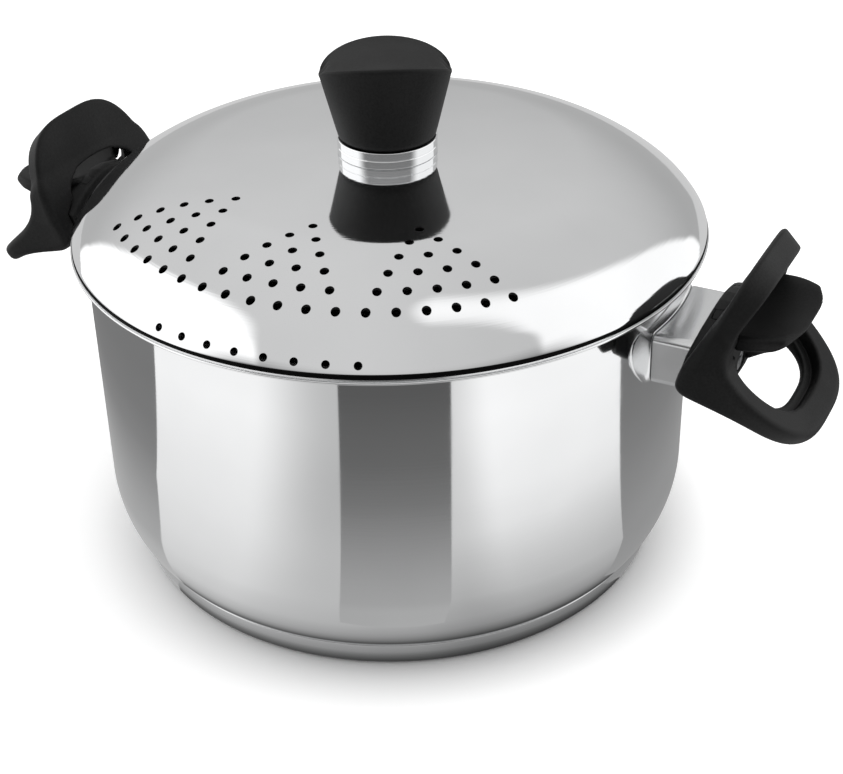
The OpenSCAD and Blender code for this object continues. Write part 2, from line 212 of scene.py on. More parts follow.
def base_profile():
    flat = FOOT_R - 3
    under = [(0, 0), (flat, 0), (FOOT_R - 1.8, 0.08), (FOOT_R - 0.9, 0.35), (FOOT_R - 0.1, CAP_T)]
    side = [(FOOT_R + 0.6, 1.5), (FOOT_R + 1.3, 2.8), (FOOT_R + 2, 4.5), (FOOT_R + 2.6, 6.3)]
    side += [(FOOT_R + 3, 8)]
    groove = [(SEAM_R - 0.45, SEAM_H - 1.0), (SEAM_R - 0.5, SEAM_H - 0.5), (SEAM_R - 0.9, SEAM_H - 0.35)]
    back = [(SEAM_R - 1.6, SEAM_H - 0.5), (flat, SEAM_H - 1.2), (flat, CAP_T), (0, CAP_T)]
    return split_long(under + side + groove + back, 6)


base_cap = turned("Base_cap_skin", base_profile(), SIDES)
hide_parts("base_cap")
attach(base_cap, "pot")
print("base cap faces:", len(base_cap.data.polygons))

# %% [markdown]
# ## The lid
# The dome is a flat cap that runs at a tangent into a rounder shoulder and ends in a rolled edge. One
# arc could make the shoulder, but the real sheet rolls down faster and faster near its edge. That last
# stretch is walked in short steps, with the slope read from a few places.

# %% Arcs of the dome
CAP_JOIN = 0.6 * WALL_R + 2.6
CAP_SAG = 2.3
CAP_R = (CAP_JOIN ** 2 + CAP_SAG ** 2) / (2 * CAP_SAG)
CAP_A = math.asin(CAP_JOIN / CAP_R)
SH_DX = LID_R - 0.9 - CAP_JOIN
SH_DZ = LID_Z + 1.88 - (DOME_Z - CAP_SAG)
SHOULDER_R = -(SH_DX ** 2 + SH_DZ ** 2) / (2 * (SH_DX * math.sin(CAP_A) + SH_DZ * math.cos(CAP_A)))
SH_X = CAP_JOIN - SHOULDER_R * math.sin(CAP_A)
SH_Z = DOME_Z - CAP_SAG - SHOULDER_R * math.cos(CAP_A)
print("shoulder radius", round(SHOULDER_R, 1), "mm")


# %% Lid profile
def dome_at(r):
    """Height of the outer face of the lid at a distance from its middle."""
    if r < CAP_JOIN:
        return DOME_Z - CAP_R + math.sqrt(CAP_R ** 2 - r ** 2)
    return SH_Z + math.sqrt(SHOULDER_R ** 2 - (r - SH_X) ** 2)


def rolled_edge():
    """The last stretch of the shoulder, where the sheet rolls down ever more steeply."""
    reach = [-13.6, -6.6, -4.1, -1.9, -0.6, -0.1, 0.12]
    slope = [33.9, 41.0, 49.0, 54.5, 57.0, 78.0, 89.0]
    step = 0.3
    r = LID_R + reach[0]
    z = dome_at(r)
    line = []
    while r < LID_R + 0.1 and z > LID_Z - 0.5:
        a = math.radians(float(np.interp(r - LID_R, reach, slope)))
        line.append((r, z, a))
        r += step * math.cos(a)
        z -= step * math.sin(a)
    return line


def lid_profile():
    seat = [(0, SEAT_Z), (3, SEAT_Z), (COLLAR_R - 1.4, SEAT_Z)]
    cap = [(r, dome_at(r)) for r in np.linspace(COLLAR_R - 0.7, CAP_JOIN, 30)]
    start = 90 - math.degrees(CAP_A)
    roll = rolled_edge()
    join = math.degrees(math.asin((roll[0][0] - SH_X) / SHOULDER_R))
    shoulder = arc_points(SH_X, SH_Z, SHOULDER_R, start, 90 - join, 30)[1:-1]
    shoulder += [(r, z) for r, z, _ in roll]
    last_r = roll[-1][0]
    edge = [(last_r + 0.03, LID_Z - 0.75), (last_r - 0.12, LID_Z - 1.0), (last_r - 0.45, LID_Z - 1.1)]
    inside = [(last_r - 0.85, LID_Z - 1.05), (last_r - 1.0, LID_Z - 0.6)]
    under = [(r - LID_T * math.sin(a), z - LID_T * math.cos(a)) for r, z, a in roll[-6::-1]]
    under += arc_points(SH_X, SH_Z, SHOULDER_R - LID_T, 90 - join, start, 30)[1:]
    cap_in = [(r, dome_at(r) - LID_T) for r in np.linspace(CAP_JOIN, COLLAR_R + 1.2, 30)][1:]
    seat_in = [(COLLAR_R + 0.6, SEAT_Z - LID_T), (3, SEAT_Z - LID_T), (0, SEAT_Z - LID_T)]
    outer = seat + cap + shoulder + edge
    inner_side = inside + under + cap_in + seat_in
    return [(float(r), float(z)) for r, z in outer + inner_side]


# %% Lid sheet
lid_loop = lid_profile()
lid_sheet = turned("Lid_dome_sheet", lid_loop, SIDES)
print("lid sheet faces before the holes:", len(lid_sheet.data.polygons))

# %% [markdown]
# ## The strainer holes
# They stand in three triangles of six rows and in one low row on the shoulder. The triangles are laid
# out along circles about the middle of the lid, as a punching tool on a turntable would do it.

# %% Where the holes are
HOLE_R = 1.66
LOW_R = 1.5
PITCH = 10.4
ROW_PITCH = 0.72
ROW_GROWTH = 0.012
STRAIN_DIR = -114.1
GROUPS = 3
ROWS = 6
OUTER_ROW = 0.9 * WALL_R
LOW_COUNT = 8
LOW_STEP = 5.17
LOW_ROW = LID_R - 2.1
LOW_TILT = math.radians(58)
STRAIGHT_UP = (0.0, 0.0, 1.0)


def hole_places():
    """Middle and direction of every strainer hole."""
    places = []
    step = math.degrees(PITCH / OUTER_ROW)
    for g in range(GROUPS):
        mid = STRAIN_DIR + (g - (GROUPS - 1) / 2) * ROWS * step
        for k in range(ROWS, 0, -1):
            row = OUTER_ROW - (ROWS - k) * PITCH * (ROW_PITCH + ROW_GROWTH * (ROWS - k))
            for j in range(k):
                a = math.radians(mid + (j - (k - 1) / 2) * math.degrees(PITCH / row))
                places.append(((row * math.cos(a), row * math.sin(a), dome_at(row)), STRAIGHT_UP))
    for j in range(LOW_COUNT):
        a = math.radians(STRAIN_DIR + 0.3 + (j - (LOW_COUNT - 1) / 2) * LOW_STEP)
        spot = (LOW_ROW * math.cos(a), LOW_ROW * math.sin(a), LID_Z + 2.7)
        lean = (math.sin(LOW_TILT) * math.cos(a), math.sin(LOW_TILT) * math.sin(a), math.cos(LOW_TILT))
        places.append((spot, lean))
    return places


print("strainer holes:", len(hole_places()))

# %% [markdown]
# A Boolean modifier cuts the holes. Each punch widens a little at the sheet, because a punched and
# polished hole has a soft edge. All punches are one mesh, so the sheet is cut only once.

# %% One punch
SPOKES = 28


def add_cutter(bm, spot, lean, r, soft):
    """A round punch along a direction. It is wider where it leaves the outer face of the sheet."""
    n = np.array(lean)
    u = np.cross(n, (0.0, 1.0, 0.3))
    u /= np.linalg.norm(u)
    v = np.cross(n, u)
    stations = [(-5, r), (-0.22, r), (0.1, r + soft), (5, r + soft)]
    rings = []
    for h, rr in stations:
        ring = []
        for k in range(SPOKES):
            a = 2 * math.pi * k / SPOKES
            p = np.array(spot) + n * h + (u * math.cos(a) + v * math.sin(a)) * rr
            ring.append(bm.verts.new(p * MM))
        rings.append(ring)
    for a, b in zip(rings, rings[1:]):
        for k in range(SPOKES):
            m = (k + 1) % SPOKES
            bm.faces.new((a[k], a[m], b[m], b[k]))
    bm.faces.new(rings[0][::-1])
    bm.faces.new(rings[-1])


# %% Cut the holes
SOFT_EDGE = 0.06
SCREW_HOLE_R = 2.7
punches = bmesh.new()
for spot, lean in hole_places():
    add_cutter(punches, spot, lean, HOLE_R if lean == STRAIGHT_UP else LOW_R, SOFT_EDGE)
add_cutter(punches, (0, 0, SEAT_Z), STRAIGHT_UP, SCREW_HOLE_R, 0.0)
bmesh.ops.recalc_face_normals(punches, faces=punches.faces)
punch_mesh = bpy.data.meshes.new("punches")
punches.to_mesh(punch_mesh)
punches.free()
punch_obj = bpy.data.objects.new("punches", punch_mesh)
bpy.context.scene.collection.objects.link(punch_obj)
cut = lid_sheet.modifiers.new("strainer", "BOOLEAN")
cut.operation = "DIFFERENCE"
cut.solver = "EXACT"
cut.object = punch_obj
bpy.context.view_layer.update()
graph = bpy.context.evaluated_depsgraph_get()
cut_mesh = bpy.data.meshes.new_from_object(lid_sheet.evaluated_get(graph))
lid_sheet.modifiers.clear()
lid_sheet.data = cut_mesh
bpy.data.objects.remove(punch_obj)
print("lid sheet faces with the holes:", len(cut_mesh.polygons))

# %% [markdown]
# A Boolean disturbs smooth shading: round every hole the mirror would show dents. So each corner that
# still lies on the turned sheet gets the exact direction of the sheet back. The walls of the holes keep
# the direction of their own faces.

# %% Give the sheet its smooth directions back
def restore_turned_normals(obj, loop, closeness=0.9):
    """Every corner that lies on the turned sheet gets the exact direction of the sheet."""
    mesh = obj.data
    area = sum(a[0] * b[1] - b[0] * a[1] for a, b in zip(loop, loop[1:] + loop[:1]))
    line = np.array(loop if area > 0 else loop[::-1])
    point_n, piece_n = profile_normals(line.tolist())
    seg = np.roll(line, -1, 0) - line
    seg_len2 = np.maximum((seg ** 2).sum(1), 1e-12)
    co = np.empty(len(mesh.vertices) * 3)
    mesh.vertices.foreach_get("co", co)
    co = co.reshape(-1, 3) / MM
    corner_v = np.empty(len(mesh.loops), dtype=np.int32)
    mesh.loops.foreach_get("vertex_index", corner_v)
    face_n = np.empty(len(mesh.polygons) * 3)
    mesh.polygons.foreach_get("normal", face_n)
    face_n = face_n.reshape(-1, 3)
    total = np.empty(len(mesh.polygons), dtype=np.int32)
    mesh.polygons.foreach_get("loop_total", total)
    owner = np.repeat(np.arange(len(total)), total)
    p = co[corner_v]
    r = np.hypot(p[:, 0], p[:, 1])
    out = np.stack([p[:, 0], p[:, 1]], 1) / np.maximum(r, 1e-6)[:, None]
    fn = face_n[owner]
    fn2 = np.stack([(fn[:, :2] * out).sum(1), fn[:, 2]], 1)
    best = np.full(len(p), 1e9)
    normal2 = np.zeros((len(p), 2))
    for i in range(len(line)):
        d = np.stack([r, p[:, 2]], 1) - line[i]
        t = np.clip((d @ seg[i]) / seg_len2[i], 0, 1)
        gap = np.linalg.norm(d - t[:, None] * seg[i], axis=1)
        gap = gap + 4 * (1 - fn2 @ piece_n[i])
        n = point_n[i] * (1 - t[:, None]) + point_n[(i + 1) % len(line)] * t[:, None]
        better = gap < best
        best[better] = gap[better]
        normal2[better] = n[better]
    normal = np.stack([normal2[:, 0] * out[:, 0], normal2[:, 0] * out[:, 1], normal2[:, 1]], 1)
    normal /= np.maximum(np.linalg.norm(normal, axis=1), 1e-9)[:, None]
    on_sheet = (normal * fn).sum(1) > closeness
    final = np.where(on_sheet[:, None], normal, fn)
    mesh.shade_smooth()
    mesh.normals_split_custom_set(final.tolist())
    return int(on_sheet.sum()), len(p)


print("corners on the sheet and in all:", restore_turned_normals(lid_sheet, lid_loop))
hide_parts("lid_shell")
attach(lid_sheet, "lid")

# %% [markdown]
# ## The edge between lid and rim
# The lid stands on the rim with the steel flange of its locating ring. Above the flange a dark gap is
# left, which is wide in front, where water is poured off, and narrows to the sides. The band paints that
# gap's shade as a near-black sheet. A torus would be the same all round, so the band is skinned from
# rings whose heights follow the direction.

# %% Edge band
FRONT = math.radians(-90)
BAND_IN = 124.4
FLANGE_H = 0.6
GAP_H = 0.5


def band_ring(a):
    """Points of the band's section in the direction a. The first ones belong to the steel flange."""
    front = max(0.0, math.cos(a - FRONT))
    # From split up, the band is near-black: painted shade for the gap above the flange.
    split = RIM_H + FLANGE_H + 0.5 * front ** 2
    top = max(RIM_H + GAP_H + 2.4 * front ** 1.4, split + 0.35)
    outline = [(BAND_IN, RIM_H + 0.08), (LID_R - 0.04, RIM_H + 0.08), (LID_R + 0.02, RIM_H + 0.16)]
    outline += [(LID_R + 0.02, split), (LID_R + 0.02, top), (LID_R - 0.5, top + 0.04)]
    outline += [(BAND_IN, RIM_H + 1.3)]
    return [(r * math.cos(a), r * math.sin(a), z) for r, z in outline]


def edge_band():
    rings = [band_ring(2 * math.pi * k / SIDES) for k in range(SIDES)]
    n = len(rings[0])
    faces = []
    for k in range(SIDES):
        m = (k + 1) % SIDES
        for i in range(n):
            j = (i + 1) % n
            faces.append([k * n + i, m * n + i, m * n + j, k * n + j])
    return make_mesh("Lid_edge_band", [p for ring in rings for p in ring], faces)


band = edge_band()
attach(band, "lid")
print("edge band faces:", len(band.data.polygons))

# %% [markdown]
# ## The knob
# A bright steel collar carries a black grip. The grip is round where it meets the collar, and oval at
# the crease under its arched top. Rings of points that change from circle to oval give both shapes and
# keep the crease crisp.

# %% Collar
GROOVE_Z = KNOB_Z - 3.4
GROOVE_DEPTH = 0.16
EDGE_R = 0.4


def collar_profile():
    r = COLLAR_R
    top = KNOB_Z - 0.1
    low = [(0, SEAT_Z), (r - 0.4, SEAT_Z)] + arc_points(r - 0.35, DOME_Z + 0.25, 0.35, -80, 0, 6)
    low += [(r, DOME_Z + 0.32)]
    groove = [(r, GROOVE_Z - 0.28), (r, GROOVE_Z - 0.2), (r - GROOVE_DEPTH, GROOVE_Z - 0.08)]
    groove += [(r - GROOVE_DEPTH, GROOVE_Z + 0.08), (r, GROOVE_Z + 0.2), (r, GROOVE_Z + 0.28)]
    high = [(r, top - 0.47)] + arc_points(r - EDGE_R, top - EDGE_R, EDGE_R, 0, 90, 6)
    high += [(r - 1.2, top), (0, top)]
    return low + groove + high


collar = turned("Knob_collar_ring", collar_profile(), 160)
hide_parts("knob_collar")
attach(collar, "lid")
print("collar faces:", len(collar.data.polygons))


# %% Skin over a row of rings
def turn_outward(mesh, weld=0.0):
    """Turn all faces outward. Points closer together than weld become one first."""
    bm = bmesh.new()
    bm.from_mesh(mesh)
    if weld:
        bmesh.ops.remove_doubles(bm, verts=bm.verts, dist=weld)
    bmesh.ops.recalc_face_normals(bm, faces=bm.faces)
    bm.to_mesh(mesh)
    bm.free()


def lofted(name, rings, close_start=True, close_end=True):
    """Skin a row of rings that all have the same number of points."""
    n = len(rings[0])
    points = [p for ring in rings for p in ring]
    faces = []
    for i in range(len(rings) - 1):
        for k in range(n):
            m = (k + 1) % n
            faces.append([i * n + k, i * n + m, (i + 1) * n + m, (i + 1) * n + k])
    for closed, first in ((close_start, 0), (close_end, (len(rings) - 1) * n)):
        if closed:
            mid = np.mean(points[first:first + n], axis=0)
            points.append(tuple(mid))
            for k in range(n):
                faces.append([first + k, first + (k + 1) % n, len(points) - 1])
    obj = make_mesh(name, points, faces)
    turn_outward(obj.data)
    return obj


print("ring skin is ready")

# %% Shape of the grip
KNOB_A = 25.6
KNOB_B = 19.4
KNOB_SIDE = 25.6
ARCH = 7.0
AROUND = [2 * math.pi * k / 160 for k in range(160)]
CREASE = 0.955
GRIP_Z = KNOB_Z - 0.1
GRIP_FOOT = [(2.6, 0.0), (1.6, 0.18), (0.8, 0.75), (0.3, 1.6), (0.08, 2.6)]
CREASE_ROUND = 1.1
TOP_A = KNOB_A - 1.2
TOP_B = KNOB_B - 1.15


def knob_top(x):
    """Height of the arched top above the base of the grip."""
    s = max(0.0, 1 - (x / (KNOB_A - 0.35)) ** 2)
    return KNOB_SIDE + 0.6 + ARCH * math.sqrt(s)


def grip_foot():
    """Round rings where the grip stands on the collar."""
    rings = []
    for inset, h in GRIP_FOOT:
        r = COLLAR_R - inset
        rings.append([(r * math.cos(a), r * math.sin(a), GRIP_Z + h) for a in AROUND])
    return rings


def grip_side():
    """Rings that change from the circle of the collar to the oval of the crease."""
    rings = []
    for t in np.linspace(0.14, CREASE, 24):
        ring = []
        for a in AROUND:
            x = (COLLAR_R + (KNOB_A - COLLAR_R) * (t - 0.1) / 0.9) * math.cos(a)
            y = (COLLAR_R + (KNOB_B - COLLAR_R) * min(1, t * 1.4)) * math.sin(a)
            ring.append((x, y, GRIP_Z + t * knob_top(KNOB_A * math.cos(a) * 0.999)))
        rings.append(ring)
    return rings


def grip_crease():
    """Rings that round over the crease."""
    rings = []
    for k in range(1, 8):
        c = math.radians(90 * k / 7)
        ring = []
        for a in AROUND:
            grow = CREASE_ROUND * (1 - math.cos(c))
            x = (KNOB_A - 0.1 - grow) * math.cos(a)
            y = (KNOB_B - 0.05 - grow) * math.sin(a)
            full = knob_top(KNOB_A * math.cos(a) * 0.999)
            ring.append((x, y, GRIP_Z + CREASE * full + (1 - CREASE) * full * math.sin(c)))
        rings.append(ring)
    return rings


def grip_top():
    """Smaller and smaller rings over the arched top."""
    rings = []
    for s in np.linspace(0.9, 0.06, 16):
        ring = []
        for a in AROUND:
            x = s * TOP_A * math.cos(a)
            y = s * TOP_B * math.sin(a)
            ring.append((x, y, GRIP_Z + knob_top(x * (KNOB_A / TOP_A) * 0.995)))
        rings.append(ring)
    return rings


# %% Grip
knob_grip = lofted("Knob_grip_moulding", grip_foot() + grip_side() + grip_crease() + grip_top())
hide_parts("knob_body")
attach(knob_grip, "lid")
print("knob grip top at", round(max(v.co.z for v in knob_grip.data.vertices) / MM, 1), "mm")

# %% [markdown]
# ## Shapes from distances
# The black parts of the handles are soft moulded forms, where flat faces melt into each other. They are
# hard to build face by face. We describe them as distances instead: each simple form tells how far
# away any place in space is, and the forms are joined with rounded inner corners and cut with rounded
# edges. Then a skin is laid where the distance is zero. Modellers of plastic parts call the inner
# rounding a fillet, and it is what makes the part easy to mould and pleasant to hold.

# %% Distance helpers
def tip_outline(x0, length, hw, p, n, back=()):
    """A rounded outline that ends in a soft tip, symmetric about the X axis."""
    half = []
    for i in range(n + 1):
        a = math.radians(90 * i / n)
        c = max(math.cos(a), 0.0) ** (2 / p)
        s = max(math.sin(a), 0.0) ** (2 / p)
        half.append((x0 + length * c, hw * s))
    return half + list(back) + [(x, -y) for x, y in half[:0:-1]]


def polygon_distance(points, x, y):
    """Distance from places (x, y) to a closed outline, negative inside it."""
    best = np.full(x.shape, 1e9)
    inside = np.zeros(x.shape, dtype=bool)
    for (ax, ay), (bx, by) in zip(points, list(points[1:]) + [points[0]]):
        ex, ey = bx - ax, by - ay
        t = np.clip(((x - ax) * ex + (y - ay) * ey) / max(ex * ex + ey * ey, 1e-12), 0, 1)
        best = np.minimum(best, (x - ax - t * ex) ** 2 + (y - ay - t * ey) ** 2)
        if ay != by:
            crosses = ((ay > y) != (by > y)) & (x < ax + (y - ay) * ex / ey)
            inside ^= crosses
    return np.where(inside, -1, 1) * np.sqrt(best)


def table_distance(points, x, y, step=0.25):
    """The same distance for very many places, read from a fine table of it."""
    x0, x1 = float(x.min()) - 1, float(x.max()) + 1
    y0, y1 = float(y.min()) - 1, float(y.max()) + 1
    gx = np.arange(x0, x1 + step, step)
    gy = np.arange(y0, y1 + step, step)
    table = polygon_distance(points, *np.meshgrid(gx, gy, indexing="ij")).astype(np.float32)
    fx = (x - x0) / step
    fy = (y - y0) / step
    ix = np.clip(fx.astype(np.int32), 0, len(gx) - 2)
    iy = np.clip(fy.astype(np.int32), 0, len(gy) - 2)
    tx = fx - ix
    ty = fy - iy
    low = table[ix, iy] * (1 - tx) + table[ix + 1, iy] * tx
    high = table[ix, iy + 1] * (1 - tx) + table[ix + 1, iy + 1] * tx
    return low * (1 - ty) + high * ty


def joined(a, b, k):
    """Join two forms with an inner corner rounded over about k millimetres."""
    h = np.maximum(k - np.abs(a - b), 0) / k
    return np.minimum(a, b) - h * h * k * 0.25


def common(a, b, k):
    """Keep what both forms share, with the outer edge rounded over about k millimetres."""
    return -joined(-a, -b, k)


def without(a, b, k):
    """Cut form b out of form a, with the new edge rounded over about k millimetres."""
    return common(a, -b, k)


print("distance helpers are ready")


# %% A grid of places
class Block3:
    """An even grid of places in a handle's own frame, measured from the hinge line."""

    def __init__(self, p, v, q, step):
        self.step = step
        self.start = np.array([p[0], v[0], q[0]], dtype=float)
        axes = [np.arange(a, b, step, dtype=np.float32) for a, b in (p, v, q)]
        self.p, self.v, self.q = np.meshgrid(*axes, indexing="ij", sparse=True)
        self.shape = tuple(len(a) for a in axes)

    def full(self, field):
        return np.broadcast_to(field, self.shape)


print("a small grid:", Block3((0, 2), (0, 2), (0, 1), 0.5).shape)

# %% [markdown]
# The skin has one point in every small cube that the surface runs through, and one four-sided face for
# every grid edge that it crosses. Blender's Remesh modifier works in a like way, but here the exact
# slope of the distance is at hand, so each point is pulled onto the surface and gets its direction.

# %% Value and slope inside the grid
EDGES = [((0, 0, 0), (1, 0, 0)), ((0, 1, 0), (1, 1, 0)), ((0, 0, 1), (1, 0, 1)), ((0, 1, 1), (1, 1, 1)),
         ((0, 0, 0), (0, 1, 0)), ((1, 0, 0), (1, 1, 0)), ((0, 0, 1), (0, 1, 1)), ((1, 0, 1), (1, 1, 1)),
         ((0, 0, 0), (0, 0, 1)), ((1, 0, 0), (1, 0, 1)), ((0, 1, 0), (0, 1, 1)), ((1, 1, 0), (1, 1, 1))]


def read_field(field, place):
    """Value and slope of a grid field at places given in grid steps."""
    base = np.clip(np.floor(place).astype(int), 0, np.array(field.shape) - 2)
    f = place - base
    value = 0
    slope = np.zeros_like(place)
    for i in (0, 1):
        for j in (0, 1):
            for k in (0, 1):
                c = field[base[:, 0] + i, base[:, 1] + j, base[:, 2] + k]
                wx = f[:, 0] if i else 1 - f[:, 0]
                wy = f[:, 1] if j else 1 - f[:, 1]
                wz = f[:, 2] if k else 1 - f[:, 2]
                value = value + c * wx * wy * wz
                slope[:, 0] += (1 if i else -1) * c * wy * wz
                slope[:, 1] += (1 if j else -1) * c * wx * wz
                slope[:, 2] += (1 if k else -1) * c * wx * wy
    return value, slope


# %% A skin on a form of distances
def skin_of(field, space):
    """Points and faces of the skin where the field is zero, in millimetres."""
    field = np.array(space.full(field), dtype=np.float64)
    solid = field < 0
    n = np.array(field.shape) - 1
    count = np.zeros(n, dtype=np.int8)
    for i in (0, 1):
        for j in (0, 1):
            for k in (0, 1):
                count += solid[i:n[0] + i, j:n[1] + j, k:n[2] + k]
    mixed = (count > 0) & (count < 8)
    cells = np.argwhere(mixed)
    index = np.full(n, -1, dtype=np.int64)
    index[mixed] = np.arange(len(cells))
    total = np.zeros((len(cells), 3))
    hits = np.zeros(len(cells))
    for a, b in EDGES:
        ca = cells + a
        cb = cells + b
        fa = field[ca[:, 0], ca[:, 1], ca[:, 2]]
        fb = field[cb[:, 0], cb[:, 1], cb[:, 2]]
        cross = (fa < 0) != (fb < 0)
        t = fa[cross] / (fa[cross] - fb[cross])
        total[cross] += np.array(a) + t[:, None] * (np.array(b) - np.array(a))
        hits[cross] += 1
    place = cells + total / hits[:, None]
    for _ in range(2):
        value, slope = read_field(field, place)
        size = np.maximum((slope ** 2).sum(1), 1e-3)
        move = -value[:, None] * slope / size[:, None]
        place = place + np.clip(move, -0.35, 0.35)
    quads = []
    for axis in range(3):
        b, c = (axis + 1) % 3, (axis + 2) % 3
        low = np.take(solid, range(0, n[axis]), axis)
        high = np.take(solid, range(1, n[axis] + 1), axis)
        at = np.argwhere(low != high)
        keep = (at[:, b] > 0) & (at[:, c] > 0) & (at[:, b] < n[b]) & (at[:, c] < n[c])
        at = at[keep]
        corners = []
        for db, dc in ((1, 1), (0, 1), (0, 0), (1, 0)):
            shift = at.copy()
            shift[:, b] -= db
            shift[:, c] -= dc
            corners.append(index[shift[:, 0], shift[:, 1], shift[:, 2]])
        quad = np.stack(corners, 1)
        flip = ~low[at[:, 0], at[:, 1], at[:, 2]]
        quad[flip] = quad[flip][:, ::-1]
        quads.append(quad)
    faces = np.concatenate(quads)
    value, slope = read_field(field, place)
    slope /= np.maximum(np.linalg.norm(slope, axis=1), 1e-9)[:, None]
    points = space.start + place * space.step
    return points, faces, slope


print("skin helper is ready")

# %% Both sides of the pot
def at_handle(points, side):
    """From a handle's own frame, measured from its hinge line, to the pot's frame."""
    a = HANDLE_DIR + math.pi * side
    u = points[:, 0] + PIV_X
    x = u * math.cos(a) - points[:, 1] * math.sin(a)
    y = u * math.sin(a) + points[:, 1] * math.cos(a)
    return np.stack([x, y, points[:, 2] + PIV_Z], 1)


def turn_only(vectors, side):
    """Turn directions from a handle's own frame to the pot's frame."""
    a = HANDLE_DIR + math.pi * side
    x = vectors[:, 0] * math.cos(a) - vectors[:, 1] * math.sin(a)
    y = vectors[:, 0] * math.sin(a) + vectors[:, 1] * math.cos(a)
    return np.stack([x, y, vectors[:, 2]], 1)


def handle_pair(name, node, skin, bodies):
    """One piece on each side of the pot from the same skin."""
    points, faces, normals = skin
    made = []
    for side, word in enumerate(("right", "left")):
        obj = make_mesh(name + "_" + word, at_handle(points, side), faces.tolist(), turn_only(normals, side))
        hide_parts(node + "_" + word)
        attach(obj, bodies[side])
        made.append(obj)
    print(name, "faces:", len(faces))
    return made


FINE = 0.6
print("grid step for the moulded parts:", FINE, "mm")

# %% [markdown]
# ## The swinging frame
# One black moulding carries the grip ring, two cheeks on the hinge pin and an upright flap. When the
# ring comes up, the flap swings in over the lid. The ring is a tilted slab cut to a soft outline, the
# flap is a plate whose edge slopes, and the corner between them is a long smooth curve.

# %% Outlines of the frame
DROOP = math.radians(39.7)
LEAN = math.radians(67.7)
FRAME_HW = 38.8
BARREL = [(0.0, 17.3), (3.5, 17.3), (9.0, 16.3), (18.0, 13.7), (24.0, 11.0), (30.0, 7.8)]


def barrel_distance(space, grow, hw):
    """Distance to the barrel of the fixed block, a form turned about the hinge line."""
    rho = np.sqrt(space.p ** 2 + space.q ** 2)
    v = np.abs(space.v)
    radius = np.interp(v, [b[0] for b in BARREL], [b[1] for b in BARREL]) + grow
    return np.maximum((rho - radius) * 0.93, v - hw)


def softened(points, times=2):
    """Cut the corners of a closed outline again and again, which turns it into a soft curve."""
    for _ in range(times):
        cut = []
        for (ax, ay), (bx, by) in zip(points, points[1:] + points[:1]):
            cut.append((0.75 * ax + 0.25 * bx, 0.75 * ay + 0.25 * by))
            cut.append((0.25 * ax + 0.75 * bx, 0.25 * ay + 0.75 * by))
        points = cut
    return points


RING_SIDE = [(-2.2, 7.2), (-4, 3.3), (-4.7, -1.5), (-4.4, -4), (-2.4, -5.9), (0.5, -7), (7.9, -9.1),
             (15.2, -11.6), (22, -14.8), (28.3, -18.9), (38.3, -25.9), (41.5, -26.8), (43.8, -25.9),
             (45, -23.6), (43.9, -21.7), (27.6, -8.2), (19.5, -1.2), (16.8, 1.9), (14.6, 4.8), (13.1, 8.2),
             (12.3, 12.4), (12.9, 16.6), (9.5, 20.2), (5.6, 20)]
FLAP_HW = 37.4
FLAP_FACES = [(-1, 0), (50, 0), (50, -10.4), (44, -10.3), (40, -10.1), (36, -9.7), (30, -8.9), (24, -8.2),
              (16, -7.8), (-1, -7.8)]
print("corners of the ring's side outline:", len(RING_SIDE))


# %% Ring, cheeks and flap
RING_ROUND = 3.4
FLAP_BLEND = 5.0
FLAP_FOOT = (-2.8, -0.6)


def ring_form(space):
    """The ring and its cheeks: a side outline and a top outline that is seen along the slanted ring."""
    p, v, q = space.p, space.v, space.q
    s = p * math.cos(DROOP) - q * math.sin(DROOP)
    flat = polygon_distance(softened(RING_SIDE), p + 0 * q, q + 0 * p)
    outline = tip_outline(-4.1, 52.6, FRAME_HW, 3.1, 40, [(-30, 34.8), (-30, -34.8)])
    taper = v * (1 + 0.006 * np.maximum(q - 6, 0))
    across = table_distance(outline, space.full(s + 0 * v), space.full(taper + 0 * s))
    return common(space.full(flat + 0 * v), across, RING_ROUND)


def flap_form(space):
    """The upright flap: a plate that leans, gets narrower to its top and has a softer back edge."""
    p, v, q = space.p, space.v, space.q
    dp = p - FLAP_FOOT[0]
    dq = q - FLAP_FOOT[1]
    t = dp * math.cos(LEAN) + dq * math.sin(LEAN)
    m = -dp * math.sin(LEAN) + dq * math.cos(LEAN)
    outline = tip_outline(1, 44.6, FLAP_HW, 3.4, 40, [(-1, FLAP_HW), (-1, -FLAP_HW)])
    narrow = v * (1 + 0.0045 * np.maximum(t - 20, 0))
    across = table_distance(outline, space.full(t + 0 * v), space.full(narrow))
    slab = polygon_distance(FLAP_FACES, t + 0 * m, m + 0 * t)
    soft = space.full(1.9 + 0.8 * np.tanh((m + 5) / 2) + 0 * v)
    return common((across - 0.42 * np.minimum(m + 1.5, 0)) * 0.94, space.full(slab + 0 * v), soft)


# %% [markdown]
# The frame is opened by cuts: the eye of the ring for the fingers, a shallow step around it for the
# thumb rest, the round space for the fixed block, the room for the rest inside, and the arch in the flap
# through which the rest comes out. Every cut names how softly its edge is rounded.

# %% Openings of the frame
EYE_HW = 25.2
EYE = tip_outline(6, 27.4, EYE_HW, 3, 30, [(-6, EYE_HW), (-6, -EYE_HW)])
EYE_ROUND = 2.4
STEP = tip_outline(7, 30, 28.6, 3, 30)
STEP_FLOOR = 6.8
STEP_ROUND = 1.4
ROOM_SIDE = [(10, 26.8), (7.4, 21.6), (6, 21.6)]
ROOM = tip_outline(12.8, 22.6, 28.4, 2.7, 30, ROOM_SIDE + [(x, -y) for x, y in ROOM_SIDE[::-1]])
ROOM_MID = 14.3
ROOM_HH = 5.7
ARCH_HW = 22
ARCH_H = 11.4
ARCH_FOOT = 9
ARCH_ROUND = 3.0
BLOCK_HW = 30
SWING_GAP = 0.4
SHARP = 0.8
PIN_HOLE_R = 2.56
PIN_REACH = 35.3


